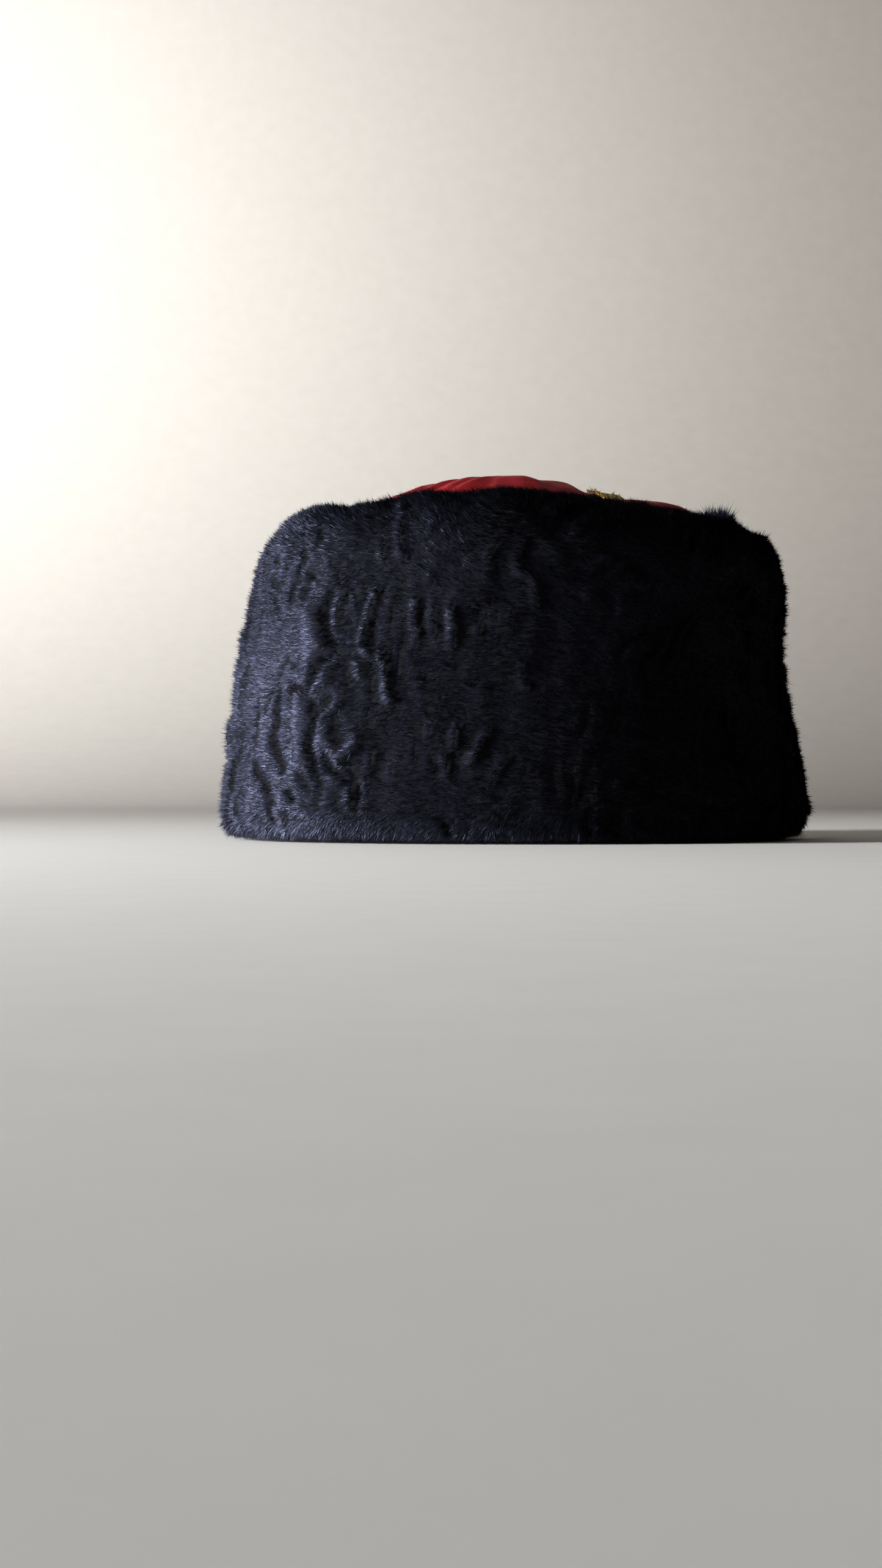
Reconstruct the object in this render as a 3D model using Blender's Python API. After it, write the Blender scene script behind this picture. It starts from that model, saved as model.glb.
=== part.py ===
"""A low, round-cornered fur hat with a puffed satin crown and a braid cross.

Frame: metres, +Z up. The hat rests on its rim at z = 0. The front of the hat
faces -X and the wearer's left side faces -Y. The origin is the middle of the
hat's outline, on the plane that the rim rests on.

Five pieces:
  fur_band          oval band, backing and pile together
  fur_fold          the top of the band, folded over and down to the crown seam
  crown_top         thin domed shell, its edge turned down inside the band
  braid_front_back  strip along the crown, from the front seam to the back seam
  braid_left_right  strip across the crown, passing over the other one
"""
import math

import bmesh
import bpy
from mathutils import Vector
from mathutils.bvhtree import BVHTree

MM = 0.001

# ---------------------------------------------------------------- sizes, mm
SEGMENTS = 72             # steps round the oval
OVAL_POWER = 2.12         # 2 is an ellipse; a little more gives fuller corners

# The band's section, once round: up the outside, and down the inside.
# height: above the rim.  front, back, side: half-lengths of the oval there.
BAND_SECTION = [
    # height   front   back    side
    (0.0,     111.0,  110.5,  93.0),    # outer edge of the flat land
    (2.5,     114.8,  114.3,  96.6),
    (12.0,    117.5,  117.5,  99.0),    # fullest line of the pile
    (33.0,    114.5,  113.2,  97.2),
    (55.0,    112.4,  109.8,  95.2),
    (70.0,    109.2,  107.6,  93.6),    # the back is slightly waisted here
    (84.0,    106.2,  107.6,  92.2),
    (97.0,    104.6,  107.6,  90.4),
    (109.0,   103.2,  107.0,  87.6),
    (116.35,   99.7,  105.6,  84.4),    # top of the wall, under the fold
    (116.35,   84.6,   88.1,  69.6),
    (105.0,    89.8,   92.0,  74.6),
    (70.0,     97.8,   94.2,  80.2),
    (33.0,    102.2,   99.4,  83.6),
    (4.0,     103.2,  103.0,  84.6),    # opening for the head
    (0.0,     105.2,  105.0,  86.8),    # inner edge of the flat land
]
BAND_MOVABLE = range(3, 10)             # rows that the dents may push

# The fold's section: round the shoulder, over the top and down to the seam.
FOLD_SECTION = [
    (116.65,   99.6,  105.5,  84.3),
    (123.5,    94.0,  101.2,  79.3),    # round shoulder
    (128.5,    89.0,   92.4,  73.5),
    (131.3,    82.4,   84.4,  67.2),    # top of the fold
    (131.3,    76.0,   79.8,  62.4),
    (129.0,    71.3,   77.0,  58.6),
    (122.0,    70.8,   76.4,  58.0),    # foot of the crown seam
    (118.5,    74.0,   79.4,  61.0),    # underside of the fold
    (116.65,   84.5,   88.0,  69.5),
]
FOLD_MOVABLE = range(0, 3)

# The whole top falls a little towards the back, mm.
BACK_FALL = 5.2
BACK_FALL_LENGTH = 38.0
BACK_FALL_FROM, BACK_FALL_FULL = 60.0, 112.0     # heights between which it grows

# Soft dents and bulges of the band's outside.
# angle: degrees round the oval, 0 at the back, 180 at the front, 270 at the
# wearer's left.  depth: inward is positive.  wide: along the oval.
BAND_DENTS = [
    # angle  height  depth  wide  tall
    (181.0,  104.0,   0.8,  30.0, 10.0),   # dent below the front corner
    (196.0,   88.0,  -1.2,  26.0, 14.0),
    (228.0,   60.0,   1.5,  34.0, 30.0),
    (262.0,   84.0,  -1.0,  40.0, 24.0),
    (300.0,   50.0,   1.3,  38.0, 30.0),
    (334.0,   96.0,  -1.2,  30.0, 16.0),
    (152.0,   64.0,   1.4,  34.0, 28.0),
    (100.0,   92.0,   1.3,  40.0, 20.0),
    (60.0,    48.0,  -1.2,  40.0, 30.0),
    (24.0,    80.0,   1.2,  30.0, 18.0),
]

# Soft dips of the folded top.
TOP_DIPS = [
    # x       y      depth  wide
    (-60.0,  -45.0,   1.7,  15.0),
    (-50.0,   50.0,   1.3,  17.0),
]
DIP_FROM, DIP_FULL = 117.0, 127.0        # heights between which they grow

# The crown: edge of the shell, just inside the crown seam.
CROWN_GAP = 0.4           # between the seam's fur and the turned-down edge
CROWN_FRONT = 70.8 - CROWN_GAP
CROWN_BACK = 76.4 - CROWN_GAP
CROWN_SIDE = 58.0 - CROWN_GAP
CROWN_EDGE_Z = 119.5      # bottom of the turned-down edge
CROWN_SEAM_Z = 127.0      # where the dome springs
CROWN_CLOTH = 2.0         # satin, wadding and backing

# Height above the rim of the puffs' crest, from front to back.
CREST = [
    # x        z
    (-70.4,   127.6),
    (-60.0,   130.0),
    (-46.0,   134.6),
    (-36.0,   138.2),
    (-29.0,   140.2),
    (-22.0,   141.8),
    (-14.0,   142.4),
    (-6.0,    142.6),
    (2.0,     142.8),     # top of the front puffs
    (8.0,     142.1),     # fold in the satin
    (13.0,    142.1),
    (20.0,    141.8),
    (28.0,    139.7),     # the puffs fall to the cross braid
    (36.0,    138.9),
    (46.0,    138.5),
    (58.0,    137.2),
    (66.0,    135.8),
    (76.0,    127.6),
]
CREST_POWER = 2.6         # how flat the dome is from side to side
CREST_ROUND = 0.80

# The braid cross lies in valleys between four puffs.
CROSS_X = 30.5            # where the strips cross, behind the middle
CROSS_SKEW = math.radians(10.0)
VALLEY_LONG = (0.34, 0.20)      # part of the puffs' height, of their half-width
VALLEY_CROSS = (2.4, 9.5)       # depth and half-width, mm

BRAID_WIDTH = 9.0
BRAID_THICK = 1.8
BRAID_LIFT = 0.45         # between a strip and what it lies on
BRAID_STATIONS = 30


# ------------------------------------------------------------------ helpers
def clear_scene():
    for ob in list(bpy.data.objects):
        bpy.data.objects.remove(ob, do_unlink=True)


def material(name, colour, roughness, metallic=0.0, sheen=0.0):
    mat = bpy.data.materials.new(name)
    mat.use_nodes = True
    bsdf = mat.node_tree.nodes["Principled BSDF"]
    bsdf.inputs["Base Color"].default_value = (*colour, 1.0)
    bsdf.inputs["Roughness"].default_value = roughness
    bsdf.inputs["Metallic"].default_value = metallic
    bsdf.inputs["Sheen Weight"].default_value = sheen
    mat.diffuse_color = (*colour, 1.0)
    return mat


def signed_power(value, power):
    return math.copysign(abs(value) ** power, value)


def oval(front, back, side, angle, power=OVAL_POWER):
    """A point of the oval, mm. The front and back half-lengths may differ."""
    c, s = math.cos(angle), math.sin(angle)
    c = 0.0 if abs(c) < 1e-12 else c
    s = 0.0 if abs(s) < 1e-12 else s
    length = back if c > 0.0 else front
    return (length * signed_power(c, 2.0 / power),
            side * signed_power(s, 2.0 / power))


def table(rows, x):
    """Smooth value from rows of (x, value), by monotone cubic steps."""
    xs = [r[0] for r in rows]
    ys = [r[1] for r in rows]
    if x <= xs[0]:
        return ys[0]
    if x >= xs[-1]:
        return ys[-1]
    slopes = [(ys[i + 1] - ys[i]) / (xs[i + 1] - xs[i]) for i in range(len(xs) - 1)]
    tangents = [slopes[0]]
    for i in range(1, len(slopes)):
        a, b = slopes[i - 1], slopes[i]
        tangents.append(0.0 if a * b <= 0.0 else 2.0 * a * b / (a + b))
    tangents.append(slopes[-1])
    i = max(k for k in range(len(xs) - 1) if xs[k] <= x)
    h = xs[i + 1] - xs[i]
    t = (x - xs[i]) / h
    return ((2 * t ** 3 - 3 * t ** 2 + 1) * ys[i] + (t ** 3 - 2 * t ** 2 + t) * h * tangents[i]
            + (-2 * t ** 3 + 3 * t ** 2) * ys[i + 1] + (t ** 3 - t ** 2) * h * tangents[i + 1])


def dent(angle, height, arc_radius):
    """How far the outside is pushed in at an angle and a height, mm."""
    total = 0.0
    for at_deg, at_z, depth, wide, tall in BAND_DENTS:
        turn = (angle - math.radians(at_deg) + math.pi) % (2 * math.pi) - math.pi
        along = turn * arc_radius / wide
        up = (height - at_z) / tall
        total += depth * math.exp(-(along * along + up * up))
    return total


def top_dip(x, y, height):
    """How far the fold is pressed down at a place, mm."""
    t = min(max((height - DIP_FROM) / (DIP_FULL - DIP_FROM), 0.0), 1.0)
    depth = sum(deep * math.exp(-((x - at_x) ** 2 + (y - at_y) ** 2) / wide ** 2)
                for at_x, at_y, deep, wide in TOP_DIPS)
    return depth * t * t * (3.0 - 2.0 * t)


def new_object(name, verts_mm, faces, mat):
    """A mesh object from points in mm, its faces pointing out."""
    mesh = bpy.data.meshes.new(name)
    mesh.from_pydata([tuple(c * MM for c in v) for v in verts_mm], [], faces)
    mesh.update()
    bm = bmesh.new()
    bm.from_mesh(mesh)
    bmesh.ops.recalc_face_normals(bm, faces=bm.faces)
    bm.to_mesh(mesh)
    bm.free()
    mesh.materials.append(mat)
    mesh.shade_smooth()
    mesh.set_sharp_from_angle(angle=math.radians(50.0))
    ob = bpy.data.objects.new(name, mesh)
    bpy.context.scene.collection.objects.link(ob)
    return ob


def fallen(x, height):
    """A height once the top has fallen towards the back, mm."""
    if x <= 0.0:
        return height
    t = min(max((height - BACK_FALL_FROM) / (BACK_FALL_FULL - BACK_FALL_FROM), 0.0), 1.0)
    grown = t * t * (3.0 - 2.0 * t)
    return height - BACK_FALL * grown * (1.0 - math.exp(-(x / BACK_FALL_LENGTH) ** 1.6))


# ---------------------------------------------------------------- fur band
def build_ring(name, section, movable, mat):
    """A closed ring of the band from its section."""
    verts, faces = [], []
    rows = len(section)
    for r, (height, front, back, side) in enumerate(section):
        for k in range(SEGMENTS):
            angle = 2.0 * math.pi * k / SEGMENTS
            x, y = oval(front, back, side, angle)
            if r in movable:
                radius = math.hypot(x, y)
                push = dent(math.atan2(y, x) % (2 * math.pi), height, 105.0)
                x -= push * x / radius
                y -= push * y / radius
            verts.append((x, y, fallen(x, height) - top_dip(x, y, height)))
    for r in range(rows):
        nxt = (r + 1) % rows
        for k in range(SEGMENTS):
            k2 = (k + 1) % SEGMENTS
            faces.append((r * SEGMENTS + k, r * SEGMENTS + k2,
                          nxt * SEGMENTS + k2, nxt * SEGMENTS + k))
    return new_object(name, verts, faces, mat)


# ------------------------------------------------------------------- crown
def half_width_at(x):
    """Half-width of the crown's oval at x, mm."""
    length = CROWN_BACK if x > 0.0 else CROWN_FRONT
    u = min(abs(x) / length, 1.0)
    return CROWN_SIDE * max(1.0 - u ** OVAL_POWER, 0.0) ** (1.0 / OVAL_POWER)


def cross_strip_x(y):
    """x of the middle of the left-right strip, at y."""
    return CROSS_X - y * math.tan(CROSS_SKEW)


def puff(v):
    """Height across the crown: 0 at the seam (v = 1), with a valley at v = 0."""
    depth, half = VALLEY_LONG
    dome = max(1.0 - v ** CREST_POWER, 0.0) ** CREST_ROUND
    return dome * (1.0 - depth * math.exp(-(v / half) ** 2))


PUFF_CREST = max(puff(i / 200.0) for i in range(200))


def crown_height(x, y, rim=1.0):
    """Height of the crown's outside, mm. rim is 0 at the seam, 1 well inside."""
    width = half_width_at(x)
    v = min(abs(y) / width, 1.0) if width > 1e-6 else 1.0
    z = CROWN_SEAM_Z + (table(CREST, x) - CROWN_SEAM_Z) * puff(v) / PUFF_CREST
    depth, half = VALLEY_CROSS
    off = (x - cross_strip_x(y)) * math.cos(CROSS_SKEW)
    z -= rim * depth * math.exp(-(off / half) ** 2)
    return max(z, CROWN_SEAM_Z + 0.2)


def build_crown(mat):
    rings = [0.0, 0.10, 0.20, 0.30, 0.40, 0.50, 0.60, 0.70, 0.79, 0.87, 0.93, 0.975]
    verts, faces = [], []
    for height in (CROWN_EDGE_Z, CROWN_SEAM_Z):
        for k in range(SEGMENTS):
            angle = 2.0 * math.pi * k / SEGMENTS
            x, y = oval(CROWN_FRONT, CROWN_BACK, CROWN_SIDE, angle)
            verts.append((x, y, fallen(x, height)))
    for ring in reversed(rings[1:]):
        for k in range(SEGMENTS):
            angle = 2.0 * math.pi * k / SEGMENTS
            x, y = oval(CROWN_FRONT * ring, CROWN_BACK * ring, CROWN_SIDE * ring, angle)
            rim = min(1.0, (1.0 - ring) / 0.25)
            verts.append((x, y, fallen(x, crown_height(x, y, rim))))
    loops = 2 + len(rings) - 1
    for r in range(loops - 1):
        for k in range(SEGMENTS):
            k2 = (k + 1) % SEGMENTS
            faces.append((r * SEGMENTS + k, r * SEGMENTS + k2,
                          (r + 1) * SEGMENTS + k2, (r + 1) * SEGMENTS + k))
    centre = len(verts)
    verts.append((0.0, 0.0, crown_height(0.0, 0.0)))
    last = (loops - 1) * SEGMENTS
    for k in range(SEGMENTS):
        faces.append((last + k, last + (k + 1) % SEGMENTS, centre))
    ob = new_object("crown_top", verts, faces, mat)
    shell = ob.modifiers.new("cloth", "SOLIDIFY")
    shell.thickness = CROWN_CLOTH * MM
    shell.offset = -1.0
    shell.use_even_offset = False
    shell.use_rim = True
    return ob


# ------------------------------------------------------------------ braids
def surface_tree(objects):
    """What lies under a strip, as the finished pieces stand."""
    graph = bpy.context.evaluated_depsgraph_get()
    verts, polys = [], []
    for ob in objects:
        mesh = ob.evaluated_get(graph).to_mesh()
        start = len(verts)
        verts.extend(ob.matrix_world @ v.co for v in mesh.vertices)
        polys.extend([start + i for i in p.vertices] for p in mesh.polygons)
        ob.evaluated_get(graph).to_mesh_clear()
    return BVHTree.FromPolygons(verts, polys)


def top_at(tree, x, y, reach):
    """Highest point under a small patch round (x, y), mm."""
    tops = []
    for dx in (-reach, 0.0, reach):
        for dy in (-reach, 0.0, reach):
            hit = tree.ray_cast(Vector(((x + dx) * MM, (y + dy) * MM, 0.3)), Vector((0, 0, -1)))
            if hit[0] is not None:
                tops.append(hit[0].z / MM)
    return max(tops)


def eased(heights, rounds=6):
    """A smooth line that never dips below the given heights."""
    line = list(heights)
    for _ in range(rounds):
        mean = [line[0]] + [(line[i - 1] + 2.0 * line[i] + line[i + 1]) / 4.0
                            for i in range(1, len(line) - 1)] + [line[-1]]
        line = [max(a, b) for a, b in zip(mean, heights)]
    return line


def build_braid(name, mat, along, under):
    """A strip with a raised edge on each side, laid on what is under it.

    along(t) gives the strip's middle line, mm, for t from 0 to 1.
    """
    tree = surface_tree(under)
    # across the strip, from edge to edge, and the face's height there
    section = [(-1.0, 0.00), (-0.55, -0.30), (0.0, -0.15), (0.55, -0.30), (1.0, 0.00)]
    half = BRAID_WIDTH / 2.0
    places, left, right = [], [], []
    for i in range(BRAID_STATIONS + 1):
        t = i / BRAID_STATIONS
        x, y = along(t)
        x2, y2 = along(min(t + 0.01, 1.0))
        x1, y1 = along(max(t - 0.01, 0.0))
        size = math.hypot(x2 - x1, y2 - y1)
        nx, ny = -(y2 - y1) / size, (x2 - x1) / size
        tops = [top_at(tree, x + nx * a * half, y + ny * a * half, 1.6)
                for a in (-1.0, -0.5, 0.0, 0.5, 1.0)]
        raise_by = max(0.0, max(top - (tops[0] + (tops[4] - tops[0]) * k / 4.0)
                                for k, top in enumerate(tops)))
        places.append((x, y, nx, ny))
        left.append(tops[0] + raise_by)
        right.append(tops[4] + raise_by)
    left, right = eased(left), eased(right)
    verts, faces = [], []
    count = len(section)
    for (x, y, nx, ny), z0, z1 in zip(places, left, right):
        low, high = [], []
        for across, face in section:
            z = z0 + (z1 - z0) * (across + 1.0) / 2.0 + BRAID_LIFT
            low.append((x + nx * across * half, y + ny * across * half, z))
            high.append((x + nx * across * half, y + ny * across * half, z + BRAID_THICK + face))
        verts.extend(low)
        verts.extend(reversed(high))
    around = 2 * count
    for i in range(BRAID_STATIONS):
        for k in range(around):
            k2 = (k + 1) % around
            faces.append((i * around + k, i * around + k2,
                          (i + 1) * around + k2, (i + 1) * around + k))
    faces.append(tuple(range(around)))
    faces.append(tuple(reversed(range(BRAID_STATIONS * around, (BRAID_STATIONS + 1) * around))))
    return new_object(name, verts, faces, mat)


def along_front_back(t):
    stop = 3.2
    return (-(CROWN_FRONT - stop) + t * (CROWN_FRONT + CROWN_BACK - 2 * stop), 0.0)


def along_left_right(t):
    stop = 3.6
    reach = half_width_at(CROSS_X + 6.0) - stop
    y = -reach + 2.0 * reach * t
    return (cross_strip_x(y), y)


# -------------------------------------------------------------------- hat
def main():
    clear_scene()
    fur = material("black_fur", (0.012, 0.012, 0.016), 0.75, sheen=0.6)
    satin = material("red_satin", (0.33, 0.012, 0.022), 0.32, sheen=0.2)
    gold = material("gold_braid", (0.52, 0.36, 0.11), 0.38, metallic=0.9)
    build_ring("fur_band", BAND_SECTION, BAND_MOVABLE, fur)
    build_ring("fur_fold", FOLD_SECTION, FOLD_MOVABLE, fur)
    crown = build_crown(satin)
    bpy.context.view_layer.update()
    long_strip = build_braid("braid_front_back", gold, along_front_back, [crown])
    bpy.context.view_layer.update()
    build_braid("braid_left_right", gold, along_left_right, [crown, long_strip])


main()
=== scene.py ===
"""Looks of a low fur hat: a black fur-fabric band pressed into wavy ridges, a puffed
red satin crown and a cross of gold braid.

Metres, +Z up. The front of the hat faces -X, the wearer's left side -Y, and the
rim rests on z = 0. Lengths inside the shape functions are in millimetres.
"""
import math

import bpy
import numpy as np
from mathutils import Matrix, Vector


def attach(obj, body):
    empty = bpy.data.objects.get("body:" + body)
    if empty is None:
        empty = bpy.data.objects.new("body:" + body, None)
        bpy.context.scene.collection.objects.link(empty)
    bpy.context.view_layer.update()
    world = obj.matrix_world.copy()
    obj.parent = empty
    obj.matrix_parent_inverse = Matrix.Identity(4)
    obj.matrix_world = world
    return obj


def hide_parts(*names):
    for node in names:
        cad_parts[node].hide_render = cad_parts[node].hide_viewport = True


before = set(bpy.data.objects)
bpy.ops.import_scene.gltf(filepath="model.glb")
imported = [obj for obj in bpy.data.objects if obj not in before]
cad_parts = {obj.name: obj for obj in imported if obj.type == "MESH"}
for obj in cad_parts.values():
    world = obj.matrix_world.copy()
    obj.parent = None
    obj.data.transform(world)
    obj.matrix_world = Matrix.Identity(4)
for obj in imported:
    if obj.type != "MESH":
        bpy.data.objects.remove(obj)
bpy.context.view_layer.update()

MM = 0.001
TAU = 2.0 * math.pi
SCENE = bpy.context.scene


# ===================================================================== noise
def lattice(ix, iy, iz, seed):
    """A fixed random number from -1 to 1 for each whole-number place."""
    with np.errstate(over="ignore"):
        h = ((ix & 0xFFFFFFFF).astype(np.uint32) * np.uint32(374761393)
             + (iy & 0xFFFFFFFF).astype(np.uint32) * np.uint32(668265263)
             + (iz & 0xFFFFFFFF).astype(np.uint32) * np.uint32(2246822519)
             + np.uint32((seed * 3266489917) & 0xFFFFFFFF))
        h ^= h >> np.uint32(15)
        h *= np.uint32(2246822519)
        h ^= h >> np.uint32(13)
        h *= np.uint32(3266489917)
        h ^= h >> np.uint32(16)
    return h.astype(np.float64) / 2147483647.5 - 1.0


def noise(x, y, z, seed):
    """Smooth noise, about -1 to 1, with features about one unit across."""
    x, y, z = np.broadcast_arrays(np.asarray(x, float), np.asarray(y, float), np.asarray(z, float))
    fx, fy, fz = np.floor(x), np.floor(y), np.floor(z)
    ix, iy, iz = fx.astype(np.int64), fy.astype(np.int64), fz.astype(np.int64)
    tx, ty, tz = x - fx, y - fy, z - fz
    tx, ty, tz = (t * t * t * (t * (t * 6 - 15) + 10) for t in (tx, ty, tz))
    total = 0.0
    for a in (0, 1):
        wx = tx if a else 1 - tx
        for b in (0, 1):
            wy = ty if b else 1 - ty
            for c in (0, 1):
                wz = tz if c else 1 - tz
                total = total + wx * wy * wz * lattice(ix + a, iy + b, iz + c, seed)
    return total * 1.25


def fbm(x, y, z, seed, octaves=3):
    total, size, sum_size = 0.0, 1.0, 0.0
    for k in range(octaves):
        f = 2.03 ** k
        total = total + size * noise(x * f + 17.3 * k, y * f - 9.1 * k, z * f + 4.7 * k, seed + k)
        sum_size += size
        size *= 0.5
    return total / sum_size * 1.3


def smooth_step(low, high, value):
    t = np.clip((value - low) / (high - low), 0.0, 1.0)
    return t * t * (3.0 - 2.0 * t)


def unit(v):
    return v / np.maximum(np.linalg.norm(v, axis=-1, keepdims=True), 1e-12)


# ================================================================= materials
def new_material(name):
    mat = bpy.data.materials.new(name)
    mat.use_nodes = True
    tree = mat.node_tree
    tree.nodes.clear()
    out = tree.nodes.new("ShaderNodeOutputMaterial")
    bsdf = tree.nodes.new("ShaderNodeBsdfPrincipled")
    tree.links.new(bsdf.outputs["BSDF"], out.inputs["Surface"])
    return mat, tree, bsdf


def node(tree, kind, **values):
    n = tree.nodes.new(kind)
    for key, value in values.items():
        if key in n.inputs:
            n.inputs[key].default_value = value
        else:
            setattr(n, key, value)
    return n


def ramp(tree, source, stops, interpolation="LINEAR"):
    n = tree.nodes.new("ShaderNodeValToRGB")
    n.color_ramp.interpolation = interpolation
    while len(n.color_ramp.elements) < len(stops):
        n.color_ramp.elements.new(0.5)
    for element, (place, colour) in zip(n.color_ramp.elements, stops):
        element.position = place
        element.color = (*colour, 1.0) if len(colour) == 3 else colour
    tree.links.new(source, n.inputs["Fac"])
    return n


def fur_hair_material(name, colour, roughness, gloss):
    """One tint of the pile. The pile's colour varies from hair to hair, partly at random and partly as painted
    shade and highlight: matt tints in the creases, glossy pale ones on ridges and the lit lower front.
    """
    mat, tree, bsdf = new_material(name)
    bsdf.inputs["Base Color"].default_value = (*colour, 1.0)
    bsdf.inputs["Roughness"].default_value = roughness
    bsdf.inputs["Specular IOR Level"].default_value = gloss
    bsdf.inputs["Specular Tint"].default_value = (0.58, 0.63, 1.0, 1.0)
    mat.diffuse_color = (*colour, 1.0)
    return mat


def pelt_material():
    """The pile below the hair tips: near black, streaked along the nap."""
    mat, tree, bsdf = new_material("black_pelt")
    link = tree.links.new
    uv = node(tree, "ShaderNodeUVMap", uv_map="pelt")
    streak_space = node(tree, "ShaderNodeMapping")
    streak_space.inputs["Scale"].default_value = (330.0, 2600.0, 1.0)
    link(uv.outputs["UV"], streak_space.inputs["Vector"])
    streaks = node(tree, "ShaderNodeTexNoise", Scale=1.0, Detail=3.0, Roughness=0.6)
    link(streak_space.outputs["Vector"], streaks.inputs["Vector"])
    coords = node(tree, "ShaderNodeTexCoord")
    patches = node(tree, "ShaderNodeTexNoise", Scale=45.0, Detail=3.0)
    link(coords.outputs["Object"], patches.inputs["Vector"])
    mix = node(tree, "ShaderNodeMath", operation="MULTIPLY")
    link(streaks.outputs["Fac"], mix.inputs[0])
    link(patches.outputs["Fac"], mix.inputs[1])
    colour = ramp(tree, mix.outputs[0], [(0.10, (0.0012, 0.0012, 0.0018)), (0.45, (0.0035, 0.0036, 0.0056))])
    link(colour.outputs["Color"], bsdf.inputs["Base Color"])
    bump = node(tree, "ShaderNodeBump", Strength=0.7, Distance=0.0006)
    link(streaks.outputs["Fac"], bump.inputs["Height"])
    link(bump.outputs["Normal"], bsdf.inputs["Normal"])
    bsdf.inputs["Roughness"].default_value = 0.78
    bsdf.inputs["Specular IOR Level"].default_value = 0.12
    return mat


def backing_material():
    """The knitted back of the fur fabric, seen inside the hat."""
    mat, tree, bsdf = new_material("knitted_backing")
    link = tree.links.new
    uv = node(tree, "ShaderNodeUVMap", uv_map="pelt")
    ribs = node(tree, "ShaderNodeTexWave", Scale=330.0, Distortion=1.2, Detail=2.0, bands_direction="X")
    rows = node(tree, "ShaderNodeTexWave", Scale=250.0, Distortion=1.0, Detail=2.0, bands_direction="Y")
    link(uv.outputs["UV"], ribs.inputs["Vector"])
    link(uv.outputs["UV"], rows.inputs["Vector"])
    knit = node(tree, "ShaderNodeMath", operation="MULTIPLY")
    link(ribs.outputs["Fac"], knit.inputs[0])
    link(rows.outputs["Fac"], knit.inputs[1])
    coords = node(tree, "ShaderNodeTexCoord")
    wear = node(tree, "ShaderNodeTexNoise", Scale=38.0, Detail=4.0)
    link(coords.outputs["Object"], wear.inputs["Vector"])
    both = node(tree, "ShaderNodeMath", operation="ADD")
    link(knit.outputs[0], both.inputs[0])
    link(wear.outputs["Fac"], both.inputs[1])
    colour = ramp(tree, both.outputs[0], [(0.35, (0.010, 0.010, 0.012)), (1.0, (0.030, 0.030, 0.034))])
    link(colour.outputs["Color"], bsdf.inputs["Base Color"])
    bump = node(tree, "ShaderNodeBump", Strength=0.8, Distance=0.0005)
    link(knit.outputs[0], bump.inputs["Height"])
    link(bump.outputs["Normal"], bsdf.inputs["Normal"])
    bsdf.inputs["Roughness"].default_value = 0.9
    bsdf.inputs["Specular IOR Level"].default_value = 0.2
    bsdf.inputs["Sheen Weight"].default_value = 0.15
    return mat


def satin_material():
    """Red satin: long glossy floats over a fine weave."""
    mat, tree, bsdf = new_material("red_satin")
    link = tree.links.new
    coords = node(tree, "ShaderNodeTexCoord")
    floats_space = node(tree, "ShaderNodeMapping")
    floats_space.inputs["Scale"].default_value = (300.0, 2600.0, 300.0)
    link(coords.outputs["Object"], floats_space.inputs["Vector"])
    floats = node(tree, "ShaderNodeTexNoise", Scale=1.0, Detail=2.0, Roughness=0.55)
    link(floats_space.outputs["Vector"], floats.inputs["Vector"])
    cloud = node(tree, "ShaderNodeTexNoise", Scale=55.0, Detail=3.0)
    link(coords.outputs["Object"], cloud.inputs["Vector"])
    both = node(tree, "ShaderNodeMath", operation="ADD")
    link(floats.outputs["Fac"], both.inputs[0])
    link(cloud.outputs["Fac"], both.inputs[1])
    half = node(tree, "ShaderNodeMath", operation="MULTIPLY")
    half.inputs[1].default_value = 0.5
    link(both.outputs[0], half.inputs[0])
    colour = ramp(tree, half.outputs[0], [(0.31, (0.255, 0.0150, 0.0200)), (0.5, (0.325, 0.0200, 0.0260)), (0.69, (0.400, 0.0265, 0.0335))])
    link(colour.outputs["Color"], bsdf.inputs["Base Color"])
    rough = node(tree, "ShaderNodeMapRange")
    rough.inputs["From Min"].default_value = 0.3
    rough.inputs["From Max"].default_value = 0.7
    rough.inputs["To Min"].default_value = 0.30
    rough.inputs["To Max"].default_value = 0.44
    link(floats.outputs["Fac"], rough.inputs["Value"])
    link(rough.outputs["Result"], bsdf.inputs["Roughness"])
    bump = node(tree, "ShaderNodeBump", Strength=0.25, Distance=0.0002)
    link(floats.outputs["Fac"], bump.inputs["Height"])
    link(bump.outputs["Normal"], bsdf.inputs["Normal"])
    bsdf.inputs["Metallic"].default_value = 0.55
    bsdf.inputs["Specular IOR Level"].default_value = 0.05
    bsdf.inputs["Specular Tint"].default_value = (0.65, 0.14, 0.15, 1.0)
    return mat


def satin_back_material():
    """The dull back of the satin, seen inside the hat."""
    mat, tree, bsdf = new_material("satin_back")
    link = tree.links.new
    coords = node(tree, "ShaderNodeTexCoord")
    weave = node(tree, "ShaderNodeTexNoise", Scale=900.0, Detail=2.0)
    link(coords.outputs["Object"], weave.inputs["Vector"])
    colour = ramp(tree, weave.outputs["Fac"], [(0.3, (0.085, 0.008, 0.012)), (0.7, (0.16, 0.014, 0.020))])
    link(colour.outputs["Color"], bsdf.inputs["Base Color"])
    bump = node(tree, "ShaderNodeBump", Strength=0.4, Distance=0.0002)
    link(weave.outputs["Fac"], bump.inputs["Height"])
    link(bump.outputs["Normal"], bsdf.inputs["Normal"])
    bsdf.inputs["Roughness"].default_value = 0.85
    return mat


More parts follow.
